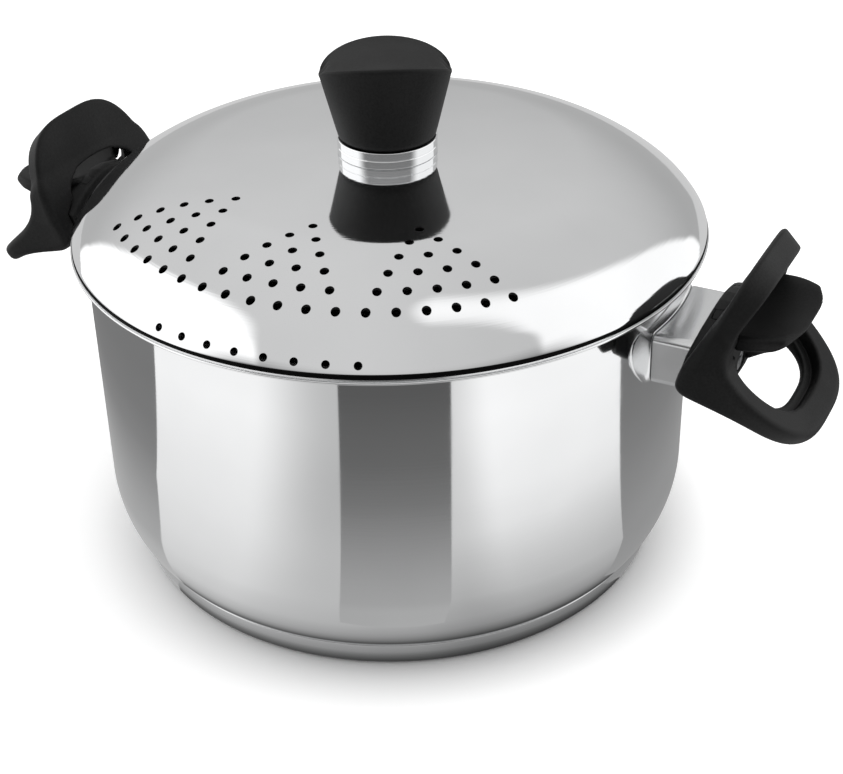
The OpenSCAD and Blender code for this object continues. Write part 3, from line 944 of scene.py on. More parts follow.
def through_ring(space, outline, limit):
    """An opening through the slanted ring, with its outline seen along the ring and one more limit."""
    s = space.p * math.cos(DROOP) - space.q * math.sin(DROOP)
    away = table_distance(outline, space.full(s + 0 * space.v), space.full(space.v + 0 * s))
    return np.maximum(away, limit)


def frame_field(space):
    p, v, q = space.p, space.v, space.q
    n = p * math.sin(DROOP) + q * math.cos(DROOP)
    body = joined(ring_form(space), flap_form(space), FLAP_BLEND)
    body = without(body, through_ring(space, EYE, n - 30), EYE_ROUND)
    body = without(body, through_ring(space, STEP, STEP_FLOOR - n), STEP_ROUND)
    body = without(body, space.full(barrel_distance(space, SWING_GAP, BLOCK_HW + SWING_GAP)), SHARP)
    room_d = space.full(polygon_distance(ROOM, p + 0 * v, v + 0 * p) + 0 * q)
    level = space.full(np.abs(q - ROOM_MID) - ROOM_HH + 0 * p)
    body = without(body, np.maximum(room_d, level), SHARP)
    turns = [math.radians(15 * i) for i in range(13)]
    arch = [(-ARCH_HW, -6), (ARCH_HW, -6)]
    arch += [(ARCH_HW * math.cos(a), ARCH_H * math.sin(a) ** 0.7) for a in turns]
    arch_d = polygon_distance(arch, v + 0 * q, q - ARCH_FOOT + 0 * v)
    body = without(body, space.full(arch_d + 0 * p), ARCH_ROUND)
    bore = space.full(np.sqrt(p ** 2 + q ** 2) - PIN_HOLE_R + 0 * v)
    return np.maximum(body, -np.maximum(bore, space.full(np.abs(v) - PIN_REACH + 0 * p)))


print("points of the eye's outline:", len(EYE))

# %% Frame on both sides
frame_space = Block3((-12, 51), (-42, 42), (-34, 44), FINE)
frames = handle_pair("Lock_frame_moulding", "frame", skin_of(frame_field(frame_space), frame_space),
                     ("lock_frame_right", "lock_frame_left"))

# %% [markdown]
# ## The thumb rest
# A fixed black spoon comes out of the block and through an arch in the flap. The thumb lies in its
# hollow. The hollow is a very shallow cut of a large ball, and the tip has a thin soft rim.

# %% Rest
REST_TOP = RIM_H - 3.2
REST_TIP = WALL_R + 53.3
REST_HW = 27.6
BALL_R = 100
HOLLOW = 2.2
TENON_HW = 14
TENON_GAP = 0.05


def rest_field(space):
    p, v, q = space.p, space.v, space.q
    u = p + PIV_X
    w = q + PIV_Z
    top = REST_TOP
    tip = REST_TIP
    hw = REST_HW
    back = [(tip - 23.2, hw - 2), (tip - 26, 20.5), (PIV_X + 9, 19.5), (PIV_X + 4, 13),
            (PIV_X + 4, -13), (PIV_X + 9, -19.5), (tip - 26, -20.5), (tip - 23.2, 2 - hw)]
    plan = polygon_distance(tip_outline(tip - 21.2, 21.2, hw, 2.7, 30, back), u + 0 * v, v + 0 * u)
    side = [(PIV_X + 2, PIV_Z + 10.4), (PIV_X + 14, PIV_Z + 10.9), (PIV_X + 25.4, PIV_Z + 12.7),
            (PIV_X + 29.6, PIV_Z + 14.2), (tip + 1, top - 1.9), (tip + 1, top + 1.3),
            (PIV_X + 2, top - 0.4)]
    flat = polygon_distance(side, u + 0 * w, w + 0 * u)
    body = common(space.full(plan + 0 * q), space.full(flat + 0 * v), 2.4)
    keel = [(15.2, 12), (15.2, 6.2), (17, 6.6), (21.3, 9.3), (25.4, 12.1), (29.6, 15), (29, 16)]
    keel_d = space.full(polygon_distance(keel, p + 0 * q, q + 0 * p) + 0 * v)
    body = joined(body, common(keel_d, space.full(np.abs(v) - 23.4 + 0 * p), 2.0), 3.0)
    root = [(PIV_X - 0.4, PIV_Z + 6), (PIV_X + 10, PIV_Z + 6), (PIV_X + 14, PIV_Z + 11), (PIV_X + 14, top),
            (PIV_X - 0.4, top)]
    root_side = space.full(polygon_distance(root, u + 0 * w, w + 0 * u) + 0 * v)
    root_d = np.maximum(root_side, np.abs(v) - TENON_HW)
    tenon = np.maximum(root_d, space.full(barrel_distance(space, 0.0, BLOCK_HW)))
    body = joined(body, tenon, 0.6)
    ball = np.sqrt((u - tip + 17) ** 2 + v ** 2 + (w - top - BALL_R + HOLLOW) ** 2) - BALL_R
    body = without(body, ball, 1.0)
    crown = np.maximum(space.full(barrel_distance(space, TENON_GAP, BLOCK_HW)), -root_d)
    return np.maximum(body, -crown)


rest_space = Block3((-4, 38), (-30, 30), (4, 22), FINE)
rests = handle_pair("Thumb_rest_spoon", "rest", skin_of(rest_field(rest_space), rest_space),
                    ("pot", "pot"))

# %% [markdown]
# ## The fixed block
# It closes the end of the steel sleeve and carries the hinge pin. It is a barrel turned about the hinge
# line, so that the frame can swing round it with the same small gap everywhere.

# %% Block
BLOCK_ROUND = 1.2
TENON_FLOOR = 6
TENON_BACK = -0.4
CROWN_H = 15.65
PIN_SEAT_R = 2.52
SCREW_WAY_R = 2.7
SCREW_HEAD_R = 5
SCREW_DROP = 7.6
HEAD_FLOOR = 4.5


def block_field(space):
    p, v, q = space.p, space.v, space.q
    cut = [(9.32 - PIV_OUT, -14), (8, -14), (9.5, 9), (14, 12), (14, 20), (18.22 - PIV_OUT, 20)]
    flat = space.full(polygon_distance(cut, p + 0 * q, q + 0 * p) + 0 * v)
    body = common(space.full(barrel_distance(space, 0.0, BLOCK_HW)), flat, BLOCK_ROUND)
    root = np.maximum(np.maximum(TENON_BACK - p, TENON_FLOOR - q), np.abs(v) - TENON_HW - TENON_GAP)
    body = np.maximum(body, -np.maximum(space.full(root), space.full(q - CROWN_H + 0 * v)))
    bore = np.sqrt(p ** 2 + q ** 2) - PIN_SEAT_R
    body = np.maximum(body, -space.full(bore + 0 * v))
    way = np.sqrt(v ** 2 + (q + SCREW_DROP) ** 2)
    head = np.maximum(way - SCREW_HEAD_R, HEAD_FLOOR - p)
    return np.maximum(body, -space.full(np.minimum(way - SCREW_WAY_R + 0 * p, head)))


block_space = Block3((-14, 18), (-32, 32), (-18, 20), FINE)
blocks = handle_pair("Hinge_block_moulding", "block", skin_of(block_field(block_space), block_space),
                     ("pot", "pot"))

# %% [markdown]
# ## The steel sleeve and its foot
# The handle is welded to the wall through a polished foot that flares out to both sides. A box sleeve
# continues from it, with a fine seam between the two. Mirror faces need crisp, even geometry, so both
# are lofted from rings: the foot from a wide outline on the wall to the section of the sleeve.

# %% Sleeve section
SLEEVE_HW = 22.7
SLEEVE_HH = 10.4
SLEEVE_MID = -3.0
END_LOW = 9.3
END_HIGH = 16.9
END_DROP = 14
END_RISE = 29


def box_section(hw, hh, r, per_corner=8, per_side=10):
    """A rounded box outline in (v, q) about the middle of the sleeve."""
    points = []
    corners = [(hw - r, hh - r, 0), (r - hw, hh - r, 90), (r - hw, r - hh, 180), (hw - r, r - hh, 270)]
    for i, (cx, cy, a0) in enumerate(corners):
        for k in range(per_corner + 1):
            a = math.radians(a0 + 90 * k / per_corner)
            points.append((cx + r * math.cos(a), cy + r * math.sin(a)))
        nx, ny, na = corners[(i + 1) % 4]
        last = points[-1]
        first = (nx + r * math.cos(math.radians(na)), ny + r * math.sin(math.radians(na)))
        for k in range(1, per_side):
            t = k / per_side
            points.append((last[0] + (first[0] - last[0]) * t, last[1] + (first[1] - last[1]) * t))
    return points


def on_wall(v, radius):
    """How far along the handle a cylinder of this radius is, at the sideways distance v."""
    return math.sqrt(radius ** 2 - v ** 2)


def end_of_sleeve(q):
    """Where the slanted end of the sleeve is, at the height q above the hinge line."""
    return WALL_R + END_LOW + (q + END_DROP) * (END_HIGH - END_LOW) / END_RISE


# %% Sleeve rings
SLEEVE_EDGE = 3
SEAM_STEPS = [(0.05, 0.9), (1.4, 0.9), (1.75, 0.9), (1.78, 0.12), (1.9, 0.0), (2.2, 0.0)]


def sleeve_skin():
    rings = []
    for out, shrink in SEAM_STEPS:
        section = box_section(SLEEVE_HW - shrink, SLEEVE_HH - shrink, SLEEVE_EDGE - shrink)
        rings.append([(on_wall(v, WALL_R + out) - PIV_X, v, q + SLEEVE_MID) for v, q in section])
    section = box_section(SLEEVE_HW, SLEEVE_HH, SLEEVE_EDGE)
    for t in (0.3, 0.6, 0.9):
        ring = []
        for v, q in section:
            a = on_wall(v, WALL_R + 2.2)
            b = end_of_sleeve(q + SLEEVE_MID)
            ring.append((a + (b - 0.35 - a) * t - PIV_X, v, q + SLEEVE_MID))
        rings.append(ring)
    for back, shrink in ((0.35, 0.0), (0.15, 0.05), (0.0, 0.3), (0.0, 0.8)):
        section = box_section(SLEEVE_HW - shrink, SLEEVE_HH - shrink, SLEEVE_EDGE - shrink)
        rings.append([(end_of_sleeve(q + SLEEVE_MID) - back - PIV_X, v, q + SLEEVE_MID) for v, q in section])
    inner = box_section(SLEEVE_HW - 2, SLEEVE_HH - 1.3, 1.2)
    rings.append([(end_of_sleeve(q + SLEEVE_MID) - 0.02 - PIV_X, v, q + SLEEVE_MID) for v, q in inner])
    rings.append([(on_wall(v, WALL_R + 0.05) - PIV_X, v, q + SLEEVE_MID) for v, q in inner])
    rings.append(rings[0])
    return rings


print("points of the sleeve's section:", len(box_section(SLEEVE_HW, SLEEVE_HH, SLEEVE_EDGE)))

# %% Foot rings
FOOT_RISE = 1.15
FOOT_EDGE = 0.15
FOOT_LOW = [(34.6, 5.0), (34.2, 1.0), (32.2, -3.6), (28.6, -8.4), (24.2, -12.4), (19, -14.6), (10, -15.2),
            (0, -15.3)]
FOOT_TOP = [(-32, 9.6), (-26, 11), (0, 11), (26, 11), (32, 9.6)]
FOOT_OUTLINE = FOOT_LOW + [(-v, q) for v, q in FOOT_LOW[-2::-1]] + FOOT_TOP


def foot_reach(angle):
    """Half size of the foot on the wall in a direction, seen along the handle."""
    d = (math.cos(angle), math.sin(angle))
    best = 0.0
    for (ax, ay), (bx, by) in zip(FOOT_OUTLINE, FOOT_OUTLINE[1:] + FOOT_OUTLINE[:1]):
        ay, by = ay - SLEEVE_MID, by - SLEEVE_MID
        ex, ey = bx - ax, by - ay
        det = d[0] * ey - d[1] * ex
        if abs(det) > 1e-9:
            r = (ax * ey - ay * ex) / det
            t = (ax * d[1] - ay * d[0]) / det
            if r > 0 and -1e-6 <= t <= 1 + 1e-6:
                best = max(best, r)
    return best


def foot_skin():
    section = box_section(SLEEVE_HW - 0.05, SLEEVE_HH - 0.05, SLEEVE_EDGE)
    rings = []
    raw = [foot_reach(math.atan2(q, v)) for v, q in section]
    n = len(raw)
    reach = [sum(raw[(i + k) % n] for k in range(-2, 3)) / 5 for i in range(n)]
    for k in range(13):
        a = math.radians(90 * k / 12)
        out = FOOT_RISE * (1 - math.cos(a)) + FOOT_EDGE
        flare = 1 - math.sin(a)
        ring = []
        for (v, q), far in zip(section, reach):
            r = math.hypot(v, q)
            grow = 1 + (max(far, r + 0.3) / r - 1) * flare
            ring.append((on_wall(v * grow, WALL_R + out) - PIV_X, v * grow, q * grow + SLEEVE_MID))
        rings.append(ring)
    for out in (1.3, 0.02):
        rings.append([(on_wall(v, WALL_R + out) - PIV_X, v * 0.985, q * 0.97 + SLEEVE_MID)
                      for v, q in section])
    first = rings[0]
    rings.append([(on_wall(v, WALL_R + 0.02) - PIV_X, v, q) for _, v, q in first])
    rings.append(first)
    return rings


print("rings of the foot:", len(foot_skin()))

# %% [markdown]
# A flat side that is lofted from many rings still shows tiny waves in a mirror, because its directions
# are averaged with the round edges. The sleeve's section tells the exact direction at every place, so
# the flat sides get that. The foot has no flat side and keeps its smooth directions.

# %% Exact directions of the sleeve
def section_normal(v, q):
    """Exact direction of the sleeve's outer face near a place (v, q)."""
    dv = max(abs(v) - SLEEVE_HW + SLEEVE_EDGE, 0.0)
    dq = max(abs(q - SLEEVE_MID) - SLEEVE_HH + SLEEVE_EDGE, 0.0)
    size = math.hypot(dv, dq)
    if size < 1e-6:
        return (0.0, 0.0, 1.0)
    return (0.0, math.copysign(dv / size, v), math.copysign(dq / size, q - SLEEVE_MID))


def flat_directions(mesh, wide):
    """Directions for every corner of a sleeve: the exact one where a face lies on its section."""
    given = []
    for face in mesh.polygons:
        for index in face.vertices:
            place = mesh.vertices[index].co
            v = sum(place[i] * wide[i] for i in range(3)) / MM
            local = section_normal(v, place[2] / MM - PIV_Z)
            exact = [local[1] * wide[i] + (local[2] if i == 2 else 0) for i in range(3)]
            fits = sum(exact[i] * face.normal[i] for i in range(3)) > 0.94
            given.append(tuple(exact if fits else face.normal))
    return given


def smooth_directions(mesh):
    """Directions for every corner of a foot: smooth, but crisp at its sharp edges."""
    smooth = [tuple(v.normal) for v in mesh.vertices]
    given = []
    for face in mesh.polygons:
        for index in face.vertices:
            fits = sum(smooth[index][i] * face.normal[i] for i in range(3)) > 0.7
            given.append(smooth[index] if fits else tuple(face.normal))
    return given


# %% Sleeve and foot on both sides
def steel_pair(name, node, rings, flat_sides):
    """The same steel piece on both sides of the pot."""
    made = []
    for side, word in enumerate(("right", "left")):
        turned_rings = [[tuple(p) for p in at_handle(np.array(ring), side)] for ring in rings]
        obj = lofted(name + "_" + word, turned_rings, False, False)
        turn_outward(obj.data, weld=1e-6)
        a = HANDLE_DIR + math.pi * side
        wide = (-math.sin(a), math.cos(a), 0.0)
        given = flat_directions(obj.data, wide) if flat_sides else smooth_directions(obj.data)
        obj.data.normals_split_custom_set(given)
        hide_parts(node + "_" + word)
        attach(obj, "pot")
        made.append(obj)
    print(name, "faces:", len(made[0].data.polygons))
    return made


sleeves = steel_pair("Handle_sleeve_box", "sleeve", sleeve_skin(), True)
feet = steel_pair("Handle_foot_flare", "saddle", foot_skin(), False)

# %% [markdown]
# ## Finishes
# Polished steel is a mirror with a few very fine traces of the polishing wheel and of use: the roughness
# wanders a little, and a faint bump bends the reflections. The black parts are a soft-touch plastic with
# a fine grain. Every pattern is made from noise in the object's own coordinates.

# %% A new material and its noise
def new_material(name):
    mat = bpy.data.materials.new(name)
    mat.use_nodes = True
    nodes = mat.node_tree.nodes
    nodes.clear()
    out = nodes.new("ShaderNodeOutputMaterial")
    shader = nodes.new("ShaderNodeBsdfPrincipled")
    mat.node_tree.links.new(shader.outputs[0], out.inputs[0])
    return mat, mat.node_tree, shader


def noise(tree, scale, detail, vector=None, stretch=None):
    """Noise in the object's own coordinates, if wanted stretched along an axis."""
    tex = tree.nodes.new("ShaderNodeTexNoise")
    tex.inputs["Scale"].default_value = scale
    tex.inputs["Detail"].default_value = detail
    if vector is None:
        vector = tree.nodes.new("ShaderNodeTexCoord").outputs["Object"]
    if stretch is not None:
        mapping = tree.nodes.new("ShaderNodeMapping")
        mapping.inputs["Scale"].default_value = stretch
        tree.links.new(vector, mapping.inputs["Vector"])
        vector = mapping.outputs[0]
    tree.links.new(vector, tex.inputs["Vector"])
    return tex.outputs["Fac"]


print("material helpers are ready")

# %% What noise can do: a range, a bump, a tint
NOISE_LOW = 0.3
NOISE_HIGH = 0.7


def spread(tree, value, low, high):
    """Turn noise into a range of values."""
    node = tree.nodes.new("ShaderNodeMapRange")
    node.inputs["From Min"].default_value = NOISE_LOW
    node.inputs["From Max"].default_value = NOISE_HIGH
    node.inputs["To Min"].default_value = low
    node.inputs["To Max"].default_value = high
    tree.links.new(value, node.inputs["Value"])
    return node.outputs[0]


def bump(tree, height, strength, distance, after=None):
    node = tree.nodes.new("ShaderNodeBump")
    node.inputs["Strength"].default_value = strength
    node.inputs["Distance"].default_value = distance
    tree.links.new(height, node.inputs["Height"])
    if after is not None:
        tree.links.new(after, node.inputs["Normal"])
    return node.outputs[0]


def tint(tree, value, dark, light):
    """A colour that wanders between two close colours."""
    ramp = tree.nodes.new("ShaderNodeValToRGB")
    ramp.color_ramp.elements[0].position = NOISE_LOW
    ramp.color_ramp.elements[0].color = (*dark, 1)
    ramp.color_ramp.elements[1].position = NOISE_HIGH
    ramp.color_ramp.elements[1].color = (*light, 1)
    tree.links.new(value, ramp.inputs[0])
    return ramp.outputs[0]


print("noise between", NOISE_LOW, "and", NOISE_HIGH, "is used")


# %% Coordinates of a turned form
def around_axis(tree):
    """Coordinates that follow the turned form: direction about the axis, radius and height."""
    coord = tree.nodes.new("ShaderNodeTexCoord")
    split = tree.nodes.new("ShaderNodeSeparateXYZ")
    tree.links.new(coord.outputs["Object"], split.inputs[0])
    turn = tree.nodes.new("ShaderNodeMath")
    turn.operation = "ARCTAN2"
    tree.links.new(split.outputs["Y"], turn.inputs[0])
    tree.links.new(split.outputs["X"], turn.inputs[1])
    flat = tree.nodes.new("ShaderNodeCombineXYZ")
    tree.links.new(split.outputs["X"], flat.inputs["X"])
    tree.links.new(split.outputs["Y"], flat.inputs["Y"])
    radius = tree.nodes.new("ShaderNodeVectorMath")
    radius.operation = "LENGTH"
    tree.links.new(flat.outputs[0], radius.inputs[0])
    joined_node = tree.nodes.new("ShaderNodeCombineXYZ")
    tree.links.new(turn.outputs[0], joined_node.inputs["X"])
    tree.links.new(radius.outputs["Value"], joined_node.inputs["Y"])
    tree.links.new(split.outputs["Z"], joined_node.inputs["Z"])
    return joined_node.outputs[0]


print("turned coordinates are ready")

# %% [markdown]
# ## Steel
# All steel here is one recipe with other numbers. Clouds of noise change the colour a little, smears
# change the roughness, and very fine lines run round the form, as the polishing wheel leaves them. The
# outside is a mirror. Inside the pot the steel is satin and darker than outside, partly painted shade.
# Under the lid and in its holes the steel would see little light, and it is painted near-black there,
# which is painted shade.

# %% Steel finishes
def steel(name, dark, light, rough, lines, line_strength):
    """Steel with wheel traces that run round the turned form, and a little wear."""
    mat, tree, shader = new_material(name)
    shader.inputs["Metallic"].default_value = 1.0
    clouds = noise(tree, 14, 3)
    tree.links.new(tint(tree, clouds, dark, light), shader.inputs["Base Color"])
    smears = noise(tree, 38, 6)
    tree.links.new(spread(tree, smears, *rough), shader.inputs["Roughness"])
    wheel = noise(tree, 1, 4, around_axis(tree), (2.0, lines, lines))
    waves = noise(tree, 9, 1)
    first = bump(tree, waves, 0.05, 0.002)
    tree.links.new(bump(tree, wheel, line_strength, 0.0004, first), shader.inputs["Normal"])
    return mat


def greys(dark, light, cool):
    """Two close steel greys, a touch bluer than neutral."""
    return (dark, dark + cool, dark + 2 * cool), (light, light + cool, light + 2 * cool)


polished = steel("polished_steel_mirror", *greys(0.80, 0.86, 0.005), (0.03, 0.075), 1400, 0.02)
# Inside the pot: satin steel made darker than steel, which is partly painted shade.
inner = steel("inner_steel_satin_and_painted_shade", *greys(0.34, 0.42, 0.003), (0.3, 0.42), 2600, 0.25)
# Near-black steel under the lid and in its holes: painted shade.
shaded = steel("painted_shade_steel_satin", *greys(0.045, 0.06, 0.0005), (0.4, 0.5), 2600, 0.2)
handle_steel = steel("handle_steel_polished", *greys(0.76, 0.82, 0.005), (0.2, 0.27), 1400, 0.02)
base_steel = steel("base_steel_polished", *greys(0.70, 0.78, 0.005), (0.08, 0.16), 1800, 0.06)
aluminium = steel("base_aluminium_cast", *greys(0.62, 0.7, 0.005), (0.35, 0.5), 900, 0.2)
fixing = steel("fixing_steel_zinc", *greys(0.55, 0.68, 0.01), (0.25, 0.4), 1500, 0.15)
print("steel finishes:", polished.name, inner.name, base_steel.name)

# %% [markdown]
# ## Black plastic
# The grips have a soft-touch surface: almost black, dull, with a grain as fine as skin. A plain dark
# colour would look like a hole in the picture, so grain, a faint swell and touched places break it up.

# %% Soft black plastic
def soft_black(name, dark, light, shine):
    """Soft-touch black: very fine grain, and slightly shinier where hands have been."""
    mat, tree, shader = new_material(name)
    touch = noise(tree, 26, 4)
    speckle = noise(tree, 1100, 3)
    both = tree.nodes.new("ShaderNodeMath")
    tree.links.new(touch, both.inputs[0])
    tree.links.new(spread(tree, speckle, -0.22, 0.22), both.inputs[1])
    tree.links.new(tint(tree, both.outputs[0], dark, light), shader.inputs["Base Color"])
    tree.links.new(spread(tree, touch, 0.56, 0.46), shader.inputs["Roughness"])
    shader.inputs["Specular IOR Level"].default_value = shine
    grain = noise(tree, 2400, 2)
    swell = noise(tree, 60, 2)
    first = bump(tree, swell, 0.04, 0.001)
    tree.links.new(bump(tree, grain, 0.25, 0.0002, first), shader.inputs["Normal"])
    return mat


black = soft_black("soft_touch_black", (0.0062, 0.0063, 0.0064), (0.0118, 0.0119, 0.012), 0.2)
# Near-black for the gap above the lid's flange: painted shade.
painted_gap_shade = soft_black("painted_gap_shade_black", (0.0012, 0.0012, 0.0012), (0.0022, 0.0022, 0.0022), 0.06)
print("black finishes:", black.name, painted_gap_shade.name)

# %% [markdown]
# ## Putting the finishes on
# Pieces that replace a measured part get their finish first. The measured parts that stay, such as the
# screws and the aluminium disc, are hidden on the closed pot but seen when the lid is off or a handle
# is taken apart, so they are finished too.

# %% Finish of every piece
def dress(obj, mat):
    obj.data.materials.clear()
    obj.data.materials.append(mat)


for obj in [pot_shell, lid_sheet, collar]:
    dress(obj, polished)
for obj in sleeves + feet:
    dress(obj, handle_steel)
dress(base_cap, base_steel)
for obj in [knob_grip] + frames + rests + blocks:
    dress(obj, black)
# The locating ring gets the darker inner steel, partly painted shade.
finish_of_node = {"base_core": aluminium, "lid_ring": inner, "knob_screw": fixing, "knob_washer": fixing}
for name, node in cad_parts.items():
    word = name.split("_")[0]
    if name in finish_of_node:
        dress(node, finish_of_node[name])
    elif word in ("stud", "screw", "pin"):
        dress(node, fixing)
    elif word in ("frame", "rest", "block"):
        dress(node, black)
    else:
        dress(node, polished)
print("measured parts with a finish of their own:", len(finish_of_node))

# %% [markdown]
# Three pieces have two finishes. The edge band is steel at its flange and painted near-black above it,
# as painted shade in the gap. The lid is painted near-black underneath and in its holes, as painted
# shade, and the pot is satin inside, darker than its outside, partly painted shade. A finish is given
# face by face, by where the face is and which way it looks.

# %% Second finishes
FLANGE_FACES = 3
# Above its steel flange the band is painted shade.
dress(band, painted_gap_shade)
band.data.materials.append(handle_steel)
for index, face in enumerate(band.data.polygons):
    face.material_index = 1 if index % len(band_ring(0.0)) < FLANGE_FACES else 0
lid_outer = lid_loop[3:lid_loop.index(max(lid_loop))]
line_r = np.array([r for r, z in lid_outer])
line_z = np.array([z for r, z in lid_outer])


def second_finish(obj, mat, picks):
    """Give some faces of a piece another finish. The test gets a face's radius, height and direction."""
    obj.data.materials.append(mat)
    changed = 0
    for face in obj.data.polygons:
        x, y, z = face.center
        r = math.hypot(x, y)
        outward = (face.normal[0] * x + face.normal[1] * y) / max(r, 1e-9)
        if picks(r / MM, z / MM, outward, face.normal[2]):
            face.material_index = 1
            changed += 1
    return changed


def under_the_lid(r, z, outward, up):
    """True on the underside of the lid and on the walls of its holes."""
    if r > LID_R - 0.8 or r < COLLAR_R:
        return False
    ahead = float(np.interp(r + 0.05, line_r, line_z) - np.interp(r - 0.05, line_r, line_z)) / 0.1
    fit = (up - ahead * outward) / math.hypot(1, ahead)
    return fit < 0.95 or z < float(np.interp(r, line_r, line_z)) - 0.3


def inside_the_pot(r, z, outward, up):
    """True on the inner wall below the lip. Radius and tilt don't matter there."""
    return SEAM_H - 0.1 < z < RIM_H - 3.4 and outward < 0.3


print("faces under the lid:", second_finish(lid_sheet, shaded, under_the_lid))
print("faces inside the pot:", second_finish(pot_shell, inner, inside_the_pot))

# %% [markdown]
# ## The studio
# The pot stands on a white table. The walls of the room are light grey with two white panels at the
# left and right, and it is darker behind the camera, which gives the black parts their shape. Dim
# glowing cards lie on the table, seen only by reflections: they are painted reflections that draw the
# long dark bands on the wall of the pot, where a real studio would use black flags.

# %% Values in a node tree
def math_of(tree, kind, a, b=None):
    """A sum, product or the like of plain numbers or links."""
    node = tree.nodes.new("ShaderNodeMath")
    node.operation = kind
    for i, value in enumerate((a, b)):
        if value is None:
            continue
        if isinstance(value, (int, float)):
            node.inputs[i].default_value = value
        else:
            tree.links.new(value, node.inputs[i])
    return node.outputs[0]


def smooth_step(tree, value, low, high, to_low=0.0, to_high=1.0):
    """Go softly from one value to another while the input goes from low to high."""
    node = tree.nodes.new("ShaderNodeMapRange")
    node.interpolation_type = "SMOOTHSTEP"
    node.inputs["From Min"].default_value = low
    node.inputs["From Max"].default_value = high
    node.inputs["To Min"].default_value = to_low
    node.inputs["To Max"].default_value = to_high
    tree.links.new(value, node.inputs["Value"])
    return node.outputs[0]


def blend_of(tree, factor, a, b):
    """a + (b - a) * factor for plain numbers or links."""
    node = tree.nodes.new("ShaderNodeMix")
    node.data_type = "FLOAT"
    tree.links.new(factor, node.inputs[0])
    for i, value in ((2, a), (3, b)):
        if isinstance(value, (int, float)):
            node.inputs[i].default_value = value
        else:
            tree.links.new(value, node.inputs[i])
    return node.outputs[0]


print("value helpers are ready")

# %% Levels along a line
CURVE_TOP = 2


def curve_of(tree, value, points):
    """A line through (distance in metres, level) points. Levels may go up to CURVE_TOP."""
    node = tree.nodes.new("ShaderNodeFloatCurve")
    line = node.mapping.curves[0]
    places = [(0.0, points[0][1])] + points + [(1.0, points[-1][1])]
    while len(line.points) < len(places):
        line.points.new(0.5, 0.5)
    for point, (far, level) in zip(line.points, places):
        point.location = (far, level / CURVE_TOP)
        point.handle_type = "VECTOR"
    node.mapping.update()
    tree.links.new(value, node.inputs["Value"])
    return math_of(tree, "MULTIPLY", node.outputs[0], float(CURVE_TOP))


def away_from_middle(tree):
    """Distance from the middle of the pot, and the place itself, in metres."""
    place = tree.nodes.new("ShaderNodeTexCoord").outputs["Object"]
    length = tree.nodes.new("ShaderNodeVectorMath")
    length.operation = "LENGTH"
    tree.links.new(place, length.inputs[0])
    split = tree.nodes.new("ShaderNodeSeparateXYZ")
    tree.links.new(place, split.inputs[0])
    return length.outputs["Value"], split.outputs


print("levels up to", CURVE_TOP)

# %% [markdown]
# The room is one function of direction. Each white panel is a tall shape with a bent inner edge, so
# that the lid's dome shows the edge as the soft curve that a large lamp cloth gives. An image of a real
# room could do the same, but a function is smaller and can be read.

# %% World
PANEL_LEFT = 1.35
PANEL_RIGHT = 1.18
EDGE_LEFT = 0.448
EDGE_RIGHT = 0.518
BEND_LEFT = 0.335
BEND_RIGHT = 0.537
world = bpy.data.worlds.new("studio")
bpy.context.scene.world = world
world.use_nodes = True
sky = world.node_tree
sky.nodes.clear()
direction = sky.nodes.new("ShaderNodeSeparateXYZ")
sky.links.new(sky.nodes.new("ShaderNodeTexCoord").outputs["Generated"], direction.inputs[0])
wx, wy, wz = direction.outputs
to_right = smooth_step(sky, wx, -0.15, 0.15)
fourth = math_of(sky, "POWER", math_of(sky, "MAXIMUM", wz, 0.0), 4.0)
bend = math_of(sky, "MULTIPLY", fourth, blend_of(sky, to_right, BEND_LEFT, BEND_RIGHT))
across = math_of(sky, "ADD", math_of(sky, "MULTIPLY", wx, wx), bend)
past_edge = math_of(sky, "SUBTRACT", across, blend_of(sky, to_right, EDGE_LEFT, EDGE_RIGHT))
panel = smooth_step(sky, past_edge, -0.022, 0.024)
wall_up = smooth_step(sky, wz, 0.1, 0.6, 0.5, 0.70)
wall_side = smooth_step(sky, wx, -0.2, 0.5, 1.0, 0.9)
wall = math_of(sky, "MULTIPLY", wall_up, wall_side)
level = blend_of(sky, panel, wall, blend_of(sky, to_right, PANEL_LEFT, PANEL_RIGHT))
behind = smooth_step(sky, wy, -0.25, -0.6)
low = smooth_step(sky, wz, 0.62, 0.42)
dark = smooth_step(sky, wz, 0.15, 0.42, 0.04, 0.27)
level = blend_of(sky, math_of(sky, "MULTIPLY", behind, low), level, dark)
print("room nodes:", len(sky.nodes))

# %% White for the camera
room_light = sky.nodes.new("ShaderNodeBackground")
seen_white = sky.nodes.new("ShaderNodeBackground")
room_or_white = sky.nodes.new("ShaderNodeMixShader")
sky.links.new(level, room_light.inputs["Strength"])
for node in (room_light, seen_white):
    node.inputs["Color"].default_value = (1, 1, 1, 1)
sky.links.new(sky.nodes.new("ShaderNodeLightPath").outputs["Is Camera Ray"], room_or_white.inputs[0])
sky.links.new(room_light.outputs[0], room_or_white.inputs[1])
sky.links.new(seen_white.outputs[0], room_or_white.inputs[2])
sky_end = sky.nodes.new("ShaderNodeOutputWorld")
sky.links.new(room_or_white.outputs[0], sky_end.inputs[0])
print("world nodes:", len(sky.nodes))

# %% [markdown]
# ## The table
# The camera sees a white table with the pot's own soft shadow, made deeper by painted shadow: the glow
# that lifts the table to white fades out close to the pot and is weaker on the left. Reflections see a
# glow instead, painted as a real white table would look from low down: dark close to the pot, which is
# painted shade, and lighter further out.

# %% Table top
TABLE_HALF = 3.0
corners = [(-1, -1), (1, -1), (1, 1), (-1, 1)]
table_mesh = bpy.data.meshes.new("Table_top")
table_mesh.from_pydata([(x * TABLE_HALF, y * TABLE_HALF, 0) for x, y in corners], [], [(0, 1, 2, 3)])
table = bpy.data.objects.new("Table_top", table_mesh)
bpy.context.scene.collection.objects.link(table)
table_mat = bpy.data.materials.new("white_table")
table_mat.use_nodes = True
cloth = table_mat.node_tree
cloth.nodes.clear()
dress(table, table_mat)
print("table is", 2 * TABLE_HALF, "m wide")
